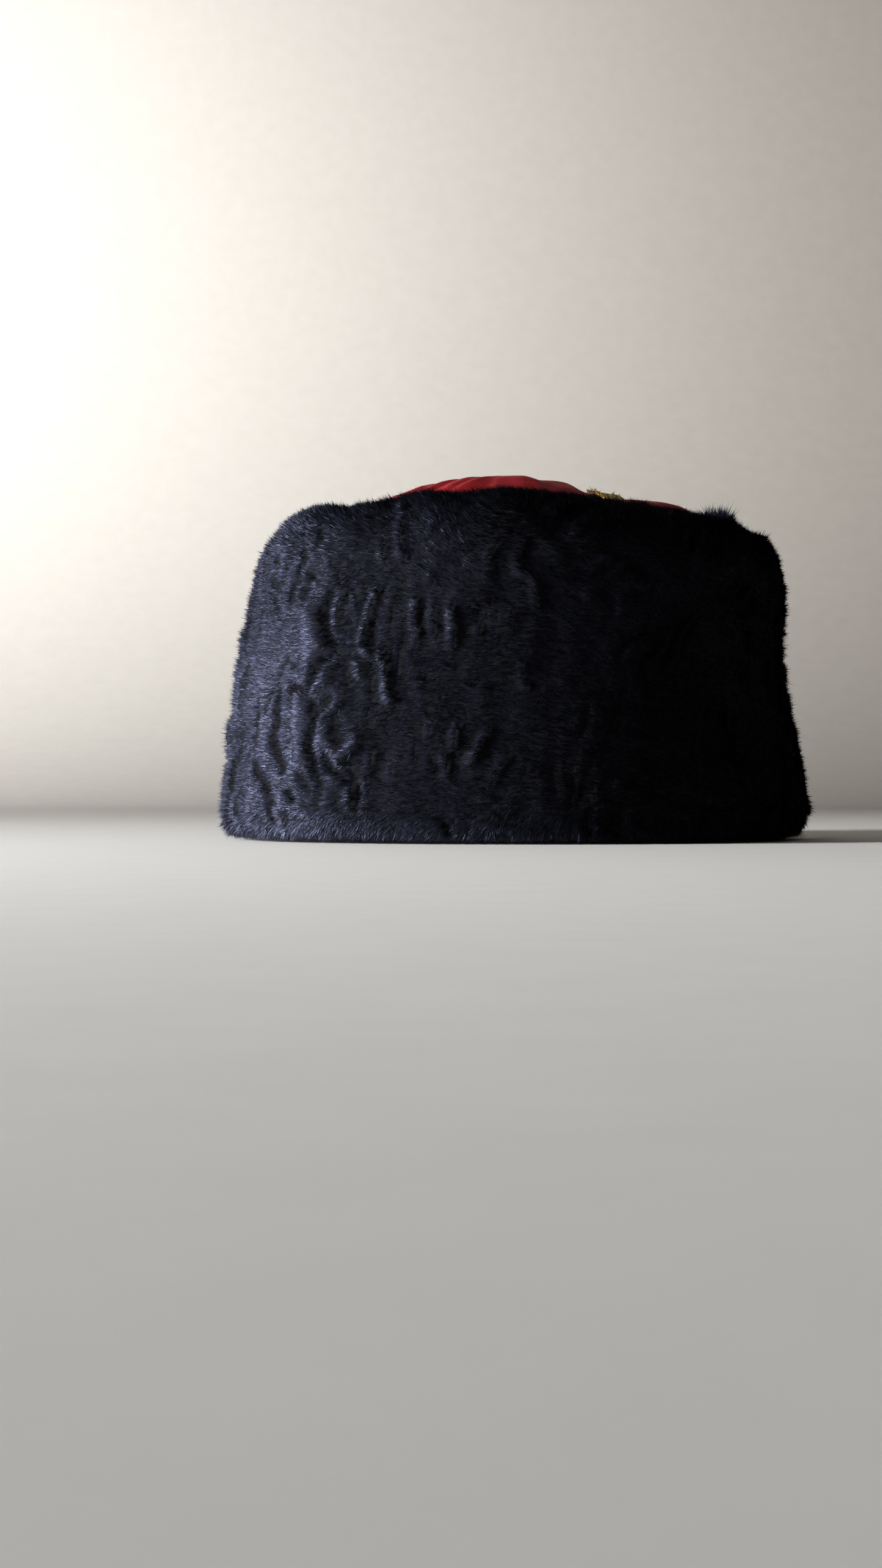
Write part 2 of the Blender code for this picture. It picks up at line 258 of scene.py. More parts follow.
def gold_material():
    """Metallic thread wound on a core: fine wraps, a little tarnished."""
    mat, tree, bsdf = new_material("gold_braid")
    link = tree.links.new
    uv = node(tree, "ShaderNodeUVMap", uv_map="thread")
    wraps = node(tree, "ShaderNodeTexWave", Scale=320.0, Distortion=0.8, Detail=1.0, bands_direction="DIAGONAL")
    link(uv.outputs["UV"], wraps.inputs["Vector"])
    coords = node(tree, "ShaderNodeTexCoord")
    tarnish = node(tree, "ShaderNodeTexNoise", Scale=420.0, Detail=4.0, Roughness=0.65)
    link(coords.outputs["Object"], tarnish.inputs["Vector"])
    both = node(tree, "ShaderNodeMath", operation="MULTIPLY")
    link(wraps.outputs["Fac"], both.inputs[0])
    link(tarnish.outputs["Fac"], both.inputs[1])
    # painted shade: the colour is darkest in the grooves between the wraps, and darker too in the tarnished spots
    colour = ramp(tree, both.outputs[0], [(0.0, (0.17, 0.080, 0.012)), (0.26, (0.62, 0.38, 0.065)), (0.55, (1.0, 0.73, 0.22))])
    link(colour.outputs["Color"], bsdf.inputs["Base Color"])
    rough = node(tree, "ShaderNodeMapRange")
    rough.inputs["From Min"].default_value = 0.3
    rough.inputs["From Max"].default_value = 0.7
    rough.inputs["To Min"].default_value = 0.46
    rough.inputs["To Max"].default_value = 0.24
    link(tarnish.outputs["Fac"], rough.inputs["Value"])
    link(rough.outputs["Result"], bsdf.inputs["Roughness"])
    bump = node(tree, "ShaderNodeBump", Strength=0.8, Distance=0.00025)
    link(wraps.outputs["Fac"], bump.inputs["Height"])
    link(bump.outputs["Normal"], bsdf.inputs["Normal"])
    bsdf.inputs["Metallic"].default_value = 0.92
    return mat


# ==================================================================== meshes
def make_mesh(name, verts, faces, materials, indices=None, smooth=True, uvs=None):
    """A mesh object from arrays. faces is one array of triangles or of quads.
    uvs, if given, is (layer name, a place for each face corner)."""
    sides = faces.shape[1]
    mesh = bpy.data.meshes.new(name)
    mesh.vertices.add(len(verts))
    mesh.vertices.foreach_set("co", np.ascontiguousarray(verts, np.float32).ravel())
    mesh.loops.add(faces.size)
    mesh.loops.foreach_set("vertex_index", np.ascontiguousarray(faces, np.int32).ravel())
    mesh.polygons.add(len(faces))
    mesh.polygons.foreach_set("loop_start", np.arange(0, faces.size, sides, dtype=np.int32))
    for mat in materials:
        mesh.materials.append(mat)
    if indices is not None:
        mesh.polygons.foreach_set("material_index", np.ascontiguousarray(indices, np.int32))
    mesh.polygons.foreach_set("use_smooth", np.full(len(faces), smooth, bool))
    if uvs is not None:
        layer = mesh.uv_layers.new(name=uvs[0])
        layer.uv.foreach_set("vector", np.ascontiguousarray(uvs[1], np.float32).ravel())
    mesh.update(calc_edges=True)
    mesh.validate()
    ob = bpy.data.objects.new(name, mesh)
    SCENE.collection.objects.link(ob)
    return ob


def grid_quads(rows, columns, close_rows, close_columns=True):
    """Quads of a grid of points, row by row, closed one way or both."""
    r = np.arange(rows if close_rows else rows - 1)[:, None]
    c = np.arange(columns if close_columns else columns - 1)[None, :]
    r2, c2 = (r + 1) % rows, (c + 1) % columns
    return np.stack([r * columns + c, r * columns + c2, r2 * columns + c2, r2 * columns + c],
                    axis=-1).reshape(-1, 4)


# ================================================================== the oval
OVAL_POWER = 2.12


def oval_points(front, back, side, angle):
    """x and y of the oval. The lengths and the angle may be arrays."""
    c, s = np.cos(angle), np.sin(angle)
    length = np.where(c > 0.0, back, front)
    x = length * np.sign(c) * np.abs(c) ** (2.0 / OVAL_POWER)
    y = side * np.sign(s) * np.abs(s) ** (2.0 / OVAL_POWER)
    return x, y


def even_angles(count):
    """Angles that step evenly along the band's oval."""
    fine = np.linspace(0.0, TAU, 7201)
    x, y = oval_points(112.6, 108.6, 94.6, fine)
    run = np.concatenate([[0.0], np.cumsum(np.hypot(np.diff(x), np.diff(y)))])
    angles = np.interp(np.arange(count) / count * run[-1], run, fine)
    return angles, run[-1]


# The band's section once round, as the solid model has it: the fur from inside
# the rim, round it, up the outside, over the top and down to the crown seam,
# then the backing down the inside.
BAND_SECTION = [
    # height  front   back    side   fur
    (14.0,   102.9,  101.8,  84.2,   1),
    (4.0,    103.2,  103.0,  84.6,   1),
    (0.0,    105.2,  105.0,  86.8,   1),
    (0.0,    110.6,  110.5,  93.0,   1),
    (2.5,    114.0,  114.3,  96.6,   1),
    (12.0,   117.5,  117.5,  99.0,   1),
    (33.0,   114.5,  113.2,  97.2,   1),
    (55.0,   112.4,  109.8,  95.2,   1),
    (70.0,   109.2,  107.6,  93.6,   1),
    (84.0,   106.2,  107.6,  92.2,   1),
    (97.0,   104.6,  107.6,  90.4,   1),
    (109.0,  103.2,  107.0,  87.6,   1),
    (116.5,   99.6,  105.5,  84.3,   1),
    (123.5,   94.0,  101.2,  79.3,   1),
    (128.5,   89.0,   92.4,  73.5,   1),
    (131.3,   82.4,   84.4,  67.2,   1),
    (131.3,   76.0,   79.8,  62.4,   1),
    (129.0,   71.3,   77.0,  58.6,   1),
    (122.0,   70.8,   76.4,  58.0,   1),
    (118.5,   74.0,   79.4,  61.0,   0),
    (116.5,   84.6,   88.1,  69.6,   0),
    (105.0,   89.8,   92.0,  74.6,   0),
    (70.0,    97.8,   94.2,  80.2,   0),
    (33.0,   102.2,   99.4,  83.6,   0),
]

# Soft dents and bulges of the outside. depth: inward is positive.
BAND_DENTS = [
    # angle  height  depth  wide  tall
    (181.0,  104.0,   0.8,  30.0, 10.0),
    (196.0,   88.0,  -1.2,  26.0, 14.0),
    (228.0,   60.0,   1.5,  34.0, 30.0),
    (262.0,   84.0,  -1.0,  40.0, 24.0),
    (300.0,   50.0,   1.3,  38.0, 30.0),
    (334.0,   96.0,  -1.2,  30.0, 16.0),
    (152.0,   64.0,   1.4,  34.0, 28.0),
    (100.0,   92.0,   1.3,  40.0, 20.0),
    (60.0,    48.0,  -1.2,  40.0, 30.0),
    (24.0,    80.0,   1.2,  30.0, 18.0),
]


# Soft dips of the folded top.
TOP_DIPS = [
    # x       y      depth  wide
    (-60.0,  -45.0,   1.7,  15.0),
    (-50.0,   50.0,   1.3,  17.0),
]


def top_dip(x, y, height):
    """How far the fold is pressed down at a place, mm."""
    depth = sum(d * np.exp(-((x - at_x) ** 2 + (y - at_y) ** 2) / wide ** 2) for at_x, at_y, d, wide in TOP_DIPS)
    return depth * smooth_step(117.0, 127.0, height)


def fall(x, height):
    """How far the top has dropped towards the back, mm."""
    t = np.clip((height - 60.0) / 52.0, 0.0, 1.0)
    return 5.2 * t * t * (3.0 - 2.0 * t) * (1.0 - np.exp(-(np.maximum(x, 0.0) / 38.0) ** 1.6))


COLUMNS = 480
FUR_STEP, BACK_STEP = 1.5, 6.0      # spacing of the section's points
PILE = 1.5                          # how far the hair tips stand over the pelt


def band_section():
    """The section's points at even steps, its corners eased: height, front, back,
    side, how far along, and whether it is fur."""
    rows = np.array(BAND_SECTION)
    loop = np.vstack([rows, rows[:1]])
    mean = (loop[:, 1] + loop[:, 2] + loop[:, 3]) / 3.0
    run = np.concatenate([[0.0], np.cumsum(np.hypot(np.diff(mean), np.diff(loop[:, 0])))])
    fine = np.linspace(0.0, run[-1], 4001)[:-1]
    curves = np.stack([np.interp(fine, run, loop[:, k]) for k in range(4)], 1)
    step = fine[1]
    reach = int(8.0 / step)
    kernel = np.exp(-(np.arange(-reach, reach + 1) * step / 1.9) ** 2)
    kernel /= kernel.sum()
    eased = np.stack([
        np.convolve(np.concatenate([curves[-reach:, k], curves[:, k], curves[:reach, k]]), kernel, "valid")
        for k in range(4)], 1)
    fur_end = run[int(rows[:, 4].sum()) - 1]
    count_fur = int(round(fur_end / FUR_STEP))
    count_back = int(round((run[-1] - fur_end) / BACK_STEP))
    at = np.concatenate([np.linspace(0.0, fur_end, count_fur + 1),
                         np.linspace(fur_end, run[-1], count_back + 1)[1:-1]])
    section = np.stack([np.interp(at, fine, eased[:, k]) for k in range(4)], 1)
    return section, at, count_fur + 1


ANGLES, PERIMETER = even_angles(COLUMNS)
SECTION, RUN, FUR_ROWS = band_section()
RIM_RUN = float(np.interp(2.5, SECTION[8:60, 0], RUN[8:60]))


def surface_normals(points, close_rows):
    """Outward unit normals of a grid that is closed along its columns."""
    round_about = np.roll(points, -1, axis=1) - np.roll(points, 1, axis=1)
    if close_rows:
        along = np.roll(points, -1, axis=0) - np.roll(points, 1, axis=0)
    else:
        along = np.gradient(points, axis=0)
    return unit(np.cross(round_about, along)), unit(round_about), unit(along)


def pattern_place(s, v):
    """A place for the noise that joins up with itself round the hat."""
    radius = PERIMETER / TAU
    return radius * np.cos(s / radius), radius * np.sin(s / radius), v


def line_distance(s, v, wide, tall, seed, small=0.34):
    """Distance from the wandering lines where a stretched noise is zero, mm."""
    def field(ds, dv):
        x, y, z = pattern_place(s + ds, v + dv)
        return (0.8 * noise(x / wide, y / wide, z / tall, seed)
                + small * noise(x / (wide * 0.5), y / (wide * 0.5), z / (tall * 0.42), seed + 1))
    n = field(0.0, 0.0)
    gs = (field(0.6, 0.0) - field(-0.6, 0.0)) / 1.2
    gv = (field(0.0, 0.6) - field(0.0, -0.6)) / 1.2
    return np.abs(n) / np.maximum(np.hypot(gs, gv), 0.035)


def ridge_field(s, v):
    """The fur's pressed ridges: height over the pelt, and how deep in a crease."""
    # the lines run up the band and lean to the back towards the top
    lean = 0.10 * (v - 40.0) + 0.0042 * np.maximum(v - 45.0, 0.0) ** 2
    x, y, z = pattern_place(s, v)
    wander = (6.0 * noise(x / 34, y / 34, z / 38, 11) + 3.4 * noise(x / 13, y / 13, z / 15, 12)
              + 1.3 * noise(x / 5.5, y / 5.5, z / 6.5, 14))
    s2 = s - lean + wander
    v2 = v + 6.0 * noise(x / 21, y / 21, z / 21, 13)

    creases = line_distance(s2, v2, 9.4, 30.0, 21)
    gate = smooth_step(-0.30, 0.42, noise(x / 15, y / 15, z / 20, 31))
    crease = np.exp(-(creases / 1.9) ** 2) * (0.12 + 0.88 * gate)
    pillow = (1.0 - np.exp(-(creases / 4.6) ** 2)) * (0.3 + 0.7 * gate)
    # narrow upstanding ridges between them, in places
    ridges = line_distance(s2 + 31.0, v2 - 17.0, 12.0, 34.0, 24)
    rise = np.exp(-(ridges / 1.25) ** 2) * smooth_step(0.05, 0.55, noise(x / 16, y / 16, z / 20, 32))
    lumps = fbm(x / 26, y / 26, z / 24, 41)
    small = noise(x / 3.4, y / 3.4, z / 4.2, 51)
    height = (-2.7 * crease + 0.9 * pillow + 1.5 * rise * (1.0 - crease)
              + 0.75 * lumps + 0.20 * small - 0.2)
    return height, crease, rise


# Creases and upstanding ridges of the wearer's left side, drawn as the side
# view shows them: half-width, depth or height, then x and height of each point.
LEFT_CREASES = [
    (1.5, 2.5, [(-93.5, 61), (-93.5, 56), (-94.0, 52), (-95.3, 47), (-96.0, 42), (-96.0, 37), (-94.0, 33), (-92.0, 29), (-92.5, 26)]),
    (1.3, 1.8, [(-102.5, 55), (-102.0, 50), (-102.8, 45), (-103.5, 40), (-103.5, 36)]),
    (1.9, 2.4, [(-104.0, 31), (-103.0, 27), (-100.0, 23.5), (-98.5, 19), (-98.0, 14), (-98.0, 10), (-96.0, 7)]),
    (1.4, 2.6, [(-79.0, 55), (-79.5, 48), (-80.3, 42), (-80.7, 36), (-80.4, 31), (-78.6, 27), (-76.6, 23), (-77.0, 19)]),
    (1.5, 2.0, [(-84.5, 25), (-83.0, 22), (-81.5, 18)]),
    (1.4, 2.0, [(-89.0, 19.5), (-88.5, 14)]),
    (1.2, 1.6, [(-91.5, 11.5), (-90.0, 7.5)]),
    (2.0, 2.4, [(-88.0, 61), (-83.5, 60.5), (-80.0, 63.5), (-78.5, 68), (-76.0, 71), (-71.0, 73)]),
    (1.8, 2.6, [(-73.0, 99), (-74.5, 94), (-75.5, 88), (-74.5, 83), (-71.5, 79.5), (-69.0, 76)]),
    (1.5, 2.2, [(-82.8, 117), (-84.0, 111), (-86.0, 107), (-87.0, 103), (-88.5, 99), (-89.2, 94)]),
    (1.4, 1.8, [(-96.5, 105), (-95.0, 100.5)]),
    (1.1, 1.6, [(-97.5, 98.5), (-95.8, 95), (-94.0, 91.5)]),
    (2.2, 1.8, [(-76.5, 124), (-78.3, 117)]),
    (1.0, 1.2, [(-95.3, 114), (-94.0, 110)]),
    (2.0, 1.8, [(-74.0, 58), (-75.5, 53), (-78.0, 49)]),
    (1.98, 1.08, [(-70.5, 50), (-70.5, 44), (-69.0, 38)]),
    (2.0, 1.6, [(-74.5, 35), (-72.5, 30), (-69.5, 27)]),
    (2.2, 1.6, [(-82.5, 99), (-83.5, 94)]),
    (1.98, 0.9, [(-66.0, 31), (-63.5, 26), (-62.0, 21)]),
    (1.5, 0.4, [(-62.5, 18), (-62.8, 12)]),
    (1.62, 0.84, [(-65.5, 71), (-65.8, 64), (-67.5, 58)]),
    (1.8, 0.84, [(-56.5, 71), (-55.5, 64), (-54.0, 57)]),
    (1.62, 0.84, [(-63.5, 90), (-65.5, 84), (-68.0, 79)]),
    (2.3, 2.4, [(-63.5, 121), (-64.8, 127), (-65.8, 131), (-66.0, 134)]),
    (1.2, 0.4, [(-42.8, 94), (-42.3, 86), (-42.0, 79)]),
    (1.2, 0.25, [(-36.0, 97), (-35.5, 88), (-34.5, 80)]),
    (1.2, 0.4, [(-27.5, 92), (-27.0, 84), (-27.0, 77)]),
    (1.26, 0.72, [(-52.5, 101), (-50.0, 95)]),
    (1.35, 0.72, [(-30.5, 32), (-30.0, 25)]),
    (1.35, 0.72, [(-19.5, 41), (-22.5, 33)]),
]
LEFT_RIDGES = [
    (1.5, 2.2, [(-67.9, 100), (-69.7, 95), (-69.9, 90), (-70.9, 86), (-72.4, 83), (-74.4, 80), (-77.4, 77)]),
    (1.5, 2.67, [(-54.9, 100), (-54.4, 97), (-56.9, 93), (-57.9, 89), (-58.6, 85), (-60.4, 81), (-59.4, 77), (-56.9, 74.5)]),
    (1.6, 1.38, [(-63.9, 98), (-62.4, 93)]),
    (1.5, 2.89, [(-53.2, 74.5), (-51.4, 70), (-50.7, 65), (-51.2, 60), (-49.4, 57), (-47.4, 56)]),
    (2.1, 1.51, [(-61.9, 71), (-60.4, 66)]),
    (2.4, 1.7, [(-69.4, 73), (-72.9, 68.5), (-76.4, 63.5), (-79.4, 59.5)]),
    (1.9, 2.32, [(-66.4, 61), (-68.4, 57), (-71.4, 53), (-75.4, 50)]),
    (2.3, 2.55, [(-61.9, 42), (-63.9, 38), (-66.4, 34), (-68.9, 31)]),
    (1.6, 1.51, [(-56.4, 34), (-57.4, 29), (-58.9, 25), (-57.7, 20)]),
    (1.5, 2.32, [(-62.9, 22.5), (-64.4, 18), (-65.4, 13)]),
    (1.4, 1.38, [(-57.9, 19), (-58.9, 15), (-59.4, 10)]),
    (1.8, 1.38, [(-73.4, 26.5), (-70.4, 23.5), (-66.4, 23.5)]),
    (1.2, 1.1, [(-83.9, 109), (-82.1, 103), (-78.4, 100.8), (-73.4, 100.8), (-69.9, 102.5)]),
    (1.9, 1.0, [(-75.4, 113), (-73.4, 110.5)]),
    (1.0, 1.16, [(-62.4, 103), (-58.9, 100.5)]),
    (1.2, 2.09, [(-39.4, 95.5), (-39.0, 90), (-38.7, 84), (-38.4, 78)]),
    (0.9, 0.93, [(-32.4, 98), (-31.4, 92), (-31.4, 86), (-29.9, 78)]),
    (1.5, 1.96, [(-24.4, 93), (-23.4, 88), (-22.9, 82), (-23.4, 77)]),
    (1.2, 1.51, [(-13.9, 87), (-14.1, 82)]),
    (1.3, 1.38, [(-34.4, 105.5), (-32.4, 102)]),
    (1.0, 1.51, [(-43.9, 123), (-44.9, 117), (-44.2, 112)]),
    (1.2, 1.38, [(-52.4, 119), (-51.9, 114), (-50.2, 111)]),
    (1.1, 1.38, [(-6.4, 118), (-9.4, 113), (-9.9, 108), (-9.2, 103)]),
    (1.1, 1.51, [(5.1, 121), (3.1, 113), (2.8, 109), (4.6, 106), (7.6, 105), (9.6, 101), (10.6, 94)]),
    (0.9, 1.27, [(4.6, 71), (4.6, 66), (5.1, 60)]),
    (1.2, 1.74, [(-19.9, 47), (-22.4, 41), (-25.4, 35), (-26.9, 30), (-26.7, 24)]),
    (1.4, 1.96, [(-10.2, 44), (-12.4, 39), (-15.4, 34), (-17.9, 30)]),
    (1.1, 1.51, [(-0.9, 34), (-3.4, 31), (-5.9, 27), (-8.9, 22)]),
    (1.8, 1.38, [(-28.9, 56.5), (-30.9, 51.5)]),
    (1.0, 1.16, [(-32.4, 47), (-32.4, 41)]),
    (1.0, 1.16, [(-49.4, 29), (-49.9, 24)]),
    (1.0, 1.05, [(-10.9, 62), (-12.9, 54)]),
]


# Broad swells of the nap there, which also get a painted sheen from glossier tints: half-width, height, and their
# middles.
LEFT_SWELLS = [
    (5.4, 1.45, [(-83, 94), (-80.5, 86), (-79, 79), (-81.5, 71)]),
    (4.4, 1.2, [(-85.5, 58), (-84.5, 48), (-84.5, 38), (-83.5, 30)]),
    (4.2, 1.4, [(-75.5, 47), (-74.5, 39), (-72.5, 33), (-70, 29)]),
    (3.4, 0.8, [(-92, 122), (-91, 115), (-93, 108)]),
    (4.2, 0.5, [(-101, 64), (-101, 54), (-100.5, 44)]),
    (3.6, 0.6, [(-105, 22), (-105, 14), (-104, 8)]),
    (3.4, 0.8, [(-94, 18), (-86, 14), (-80, 12)]),
    (3.4, 0.7, [(-100, 88), (-99, 80)]),
    (3.0, 0.7, [(-73, 68), (-76, 63)]),
]


def side_view(points):
    """Where points show in the side view, mm: along the hat, and height."""
    near = 1000.0 / (1000.0 + points[..., 1])
    return -29.0 + (points[..., 0] + 29.0) * near, 22.0 + (points[..., 2] - 22.0) * near


def drawn_lines(points, s, v):
    """The drawn creases and ridges, as heights over the grid, and how much of
    the surface they claim."""
    px, pz = side_view(points)
    left = (points[..., 1] < -8.0) & (v > 0.0) & (v < 168.0)
    ax, az, a_s, a_v = px[left], pz[left], s[left], v[left]

    def place(x, z):
        d = (ax - x) ** 2 + (az - z) ** 2
        w = np.exp(-(d - d.min()) / 2.0)
        return (w * a_s).sum() / w.sum(), (w * a_v).sum() / w.sum()

    def field(lines):
        total = np.zeros_like(s)
        for wide, size, path in lines:
            path = [place(x, z) for x, z in path]
            best = np.full(s.shape, 1e6)
            for k in range(len(path) - 1):
                (s0, v0), (s1, v1) = path[k], path[k + 1]
                ds, dv = s1 - s0, v1 - v0
                t = np.clip(((s - s0) * ds + (v - v0) * dv) / max(ds * ds + dv * dv, 1e-9), 0.0, 1.0)
                # each line thins out towards both of its ends
                along = (k + t) / (len(path) - 1)
                taper = 0.55 + 0.45 * np.sin(math.pi * np.clip(along, 0.0, 1.0)) ** 0.6
                best = np.minimum(best, np.hypot(s - s0 - t * ds, v - v0 - t * dv) / taper)
            total = np.maximum(total, size * np.exp(-(best / wide) ** 2))
        return total

    wobble = 0.9 * noise(s / 5.0, v / 5.0, 3.0, 91) + 0.5 * noise(s / 2.2, v / 2.2, 5.0, 92)
    s = s + wobble
    creases, ridges, swells = field(LEFT_CREASES), field(LEFT_RIDGES), field(LEFT_SWELLS)
    claimed = (smooth_step(-112.0, -100.0, px) * (0.55 * smooth_step(96.0, 66.0, px) + 0.45 * smooth_step(40.0, 16.0, px))
               * smooth_step(2.0, 12.0, pz) * smooth_step(-20.0, -45.0, points[..., 1]))
    return creases, ridges, swells, claimed


def build_band(pelt, backing):
    """The pelt and its backing as one closed ring. Returns the piece and the grids
    that the pile grows from."""
    rows = len(SECTION)
    theta = ANGLES[None, :]
    height = np.repeat(SECTION[:, 0:1], COLUMNS, axis=1)
    x, y = oval_points(SECTION[:, 1:2], SECTION[:, 2:3], SECTION[:, 3:4], theta)
    outer = smooth_step(14.0, 34.0, RUN - RIM_RUN) * smooth_step(132.0, 112.0, RUN - RIM_RUN)
    push = 0.0
    for at_deg, at_z, depth, wide, tall in BAND_DENTS:
        turn = (theta - math.radians(at_deg) + math.pi) % TAU - math.pi
        push = push + depth * np.exp(-((turn * 105.0 / wide) ** 2 + ((height - at_z) / tall) ** 2))
    push = push * outer[:, None]
    radius = np.hypot(x, y)
    x, y = x - push * x / radius, y - push * y / radius
    points = np.stack([x, y, height - fall(x, height) - top_dip(x, y, height)], -1)

    normals, _, _ = surface_normals(points, True)
    s = np.arange(COLUMNS)[None, :] * (PERIMETER / COLUMNS) + 0.0 * height
    v = RUN[:, None] - RIM_RUN + 0.0 * height
    fur = np.zeros(rows)
    fur[:FUR_ROWS] = 1.0
    lip_run = RUN[FUR_ROWS - 1] - RIM_RUN
    strength = (smooth_step(-6.0, 7.0, v) * (1.0 - 0.75 * smooth_step(lip_run - 34.0, lip_run - 8.0, v)))
    relief, crease, ridge = ridge_field(s, v)
    cut, raised, swell, claimed = drawn_lines(points, s, v)
    cut = 0.92 * cut
    quiet = 1.0 - 0.80 * claimed
    # on top the pile stands up more, and a little taller beside the puffs
    crown_side = smooth_step(lip_run - 52.0, lip_run - 30.0, v)
    tall = smooth_step(-52.0, -32.0, x) * smooth_step(84.0, 28.0, x) * smooth_step(-20.0, -38.0, y)
    tall = tall * (1.0 + 0.36 * np.exp(-((x + 3.0) / 9.0) ** 2) - 0.36 * np.exp(-((x + 21.0) / 7.0) ** 2))
    tuft = np.exp(-(((x - 78.9) / 6.2) ** 6 + ((y + 14.0) / 15.0) ** 2)) * crown_side
    step = (1.3 * np.exp(-((x - 91.5) / 3.4) ** 2) - 0.8 * np.exp(-((x - 98.5) / 3.0) ** 2)) * crown_side
    step = step * smooth_step(34.0, 16.0, np.abs(y + 8.0))
    inset = ((PILE + (0.5 - 2.15 * tall) * crown_side) * smooth_step(-26.0, -8.0, v)
             * smooth_step(lip_run + 1.0, lip_run - 9.0, v) * fur[:, None]) - (1.4 * tuft - step) * fur[:, None]
    drawn = (((raised + swell) * (1.0 - np.clip(cut / 2.0, 0.0, 1.0)) - cut)
             * smooth_step(lip_run - 4.0, lip_run - 22.0, v))
    ends = smooth_step(46.0, 16.0, np.abs(y)) * smooth_step(84.0, 98.0, np.abs(x)) * strength
    total = (relief * strength * quiet + 0.5 * fbm(s / 9, v / 9, 1.0, 95) * claimed + drawn
             + 0.75 * ends * fbm(s / 7, v / 6, 4.0, 97))
    crease = np.clip(np.maximum(crease * quiet * strength, cut / 2.4), 0.0, 1.0)
    ridge = np.clip(np.maximum(ridge * quiet * strength, np.maximum(raised / 1.8, 0.75 * swell)), 0.0, 1.0)
    # painted shade: behind the drawn front swells, and along the top, the drawn part of the nap gets duller, darker
    # tints, except on its ridges
    dull = claimed * (smooth_step(-80.0, -66.0, side_view(points)[0])
                      + 0.9 * smooth_step(108.0, 122.0, height) * smooth_step(-84.0, -60.0, x)) * (1.0 - ridge)
    points = points + normals * (total * fur[:, None] - inset)[..., None]

    quads = grid_quads(rows, COLUMNS, True)
    kinds = np.repeat((np.arange(rows) >= FUR_ROWS - 1).astype(np.int32), COLUMNS)
    step_s = PERIMETER / COLUMNS * MM
    run_next = np.concatenate([RUN[1:], [RUN[-1] + BACK_STEP]]) * MM
    r = np.arange(rows)[:, None] + np.zeros((1, COLUMNS), int)
    c = np.arange(COLUMNS)[None, :] + np.zeros((rows, 1), int)
    low, high = RUN[r] * MM, run_next[r]
    uv = np.stack([
        np.stack([c * step_s, low], -1), np.stack([(c + 1) * step_s, low], -1),
        np.stack([(c + 1) * step_s, high], -1), np.stack([c * step_s, high], -1)], axis=2)
    piece = make_mesh("fur_pelt", points.reshape(-1, 3) * MM, quads, [pelt, backing], kinds, True,
                      ("pelt", uv.reshape(-1, 2)))
    grids = {"points": points[:FUR_ROWS], "s": s[:FUR_ROWS], "v": v[:FUR_ROWS],
             "crease": crease[:FUR_ROWS], "ridge": ridge[:FUR_ROWS], "tuft": tuft[:FUR_ROWS],
             "dull": dull[:FUR_ROWS], "lip": lip_run}
    return piece, grids


# ================================================================== the pile
HAIRS_PER_PIECE = 180000


def sample(grid, r, c, fr, fc):
    """A grid's value between its points. The columns join up."""
    c2 = (c + 1) % grid.shape[1]
    fr, fc = (fr[:, None], fc[:, None]) if grid.ndim == 3 else (fr, fc)
    return ((grid[r, c] * (1 - fc) + grid[r, c2] * fc) * (1 - fr)
            + (grid[r + 1, c] * (1 - fc) + grid[r + 1, c2] * fc) * fr)


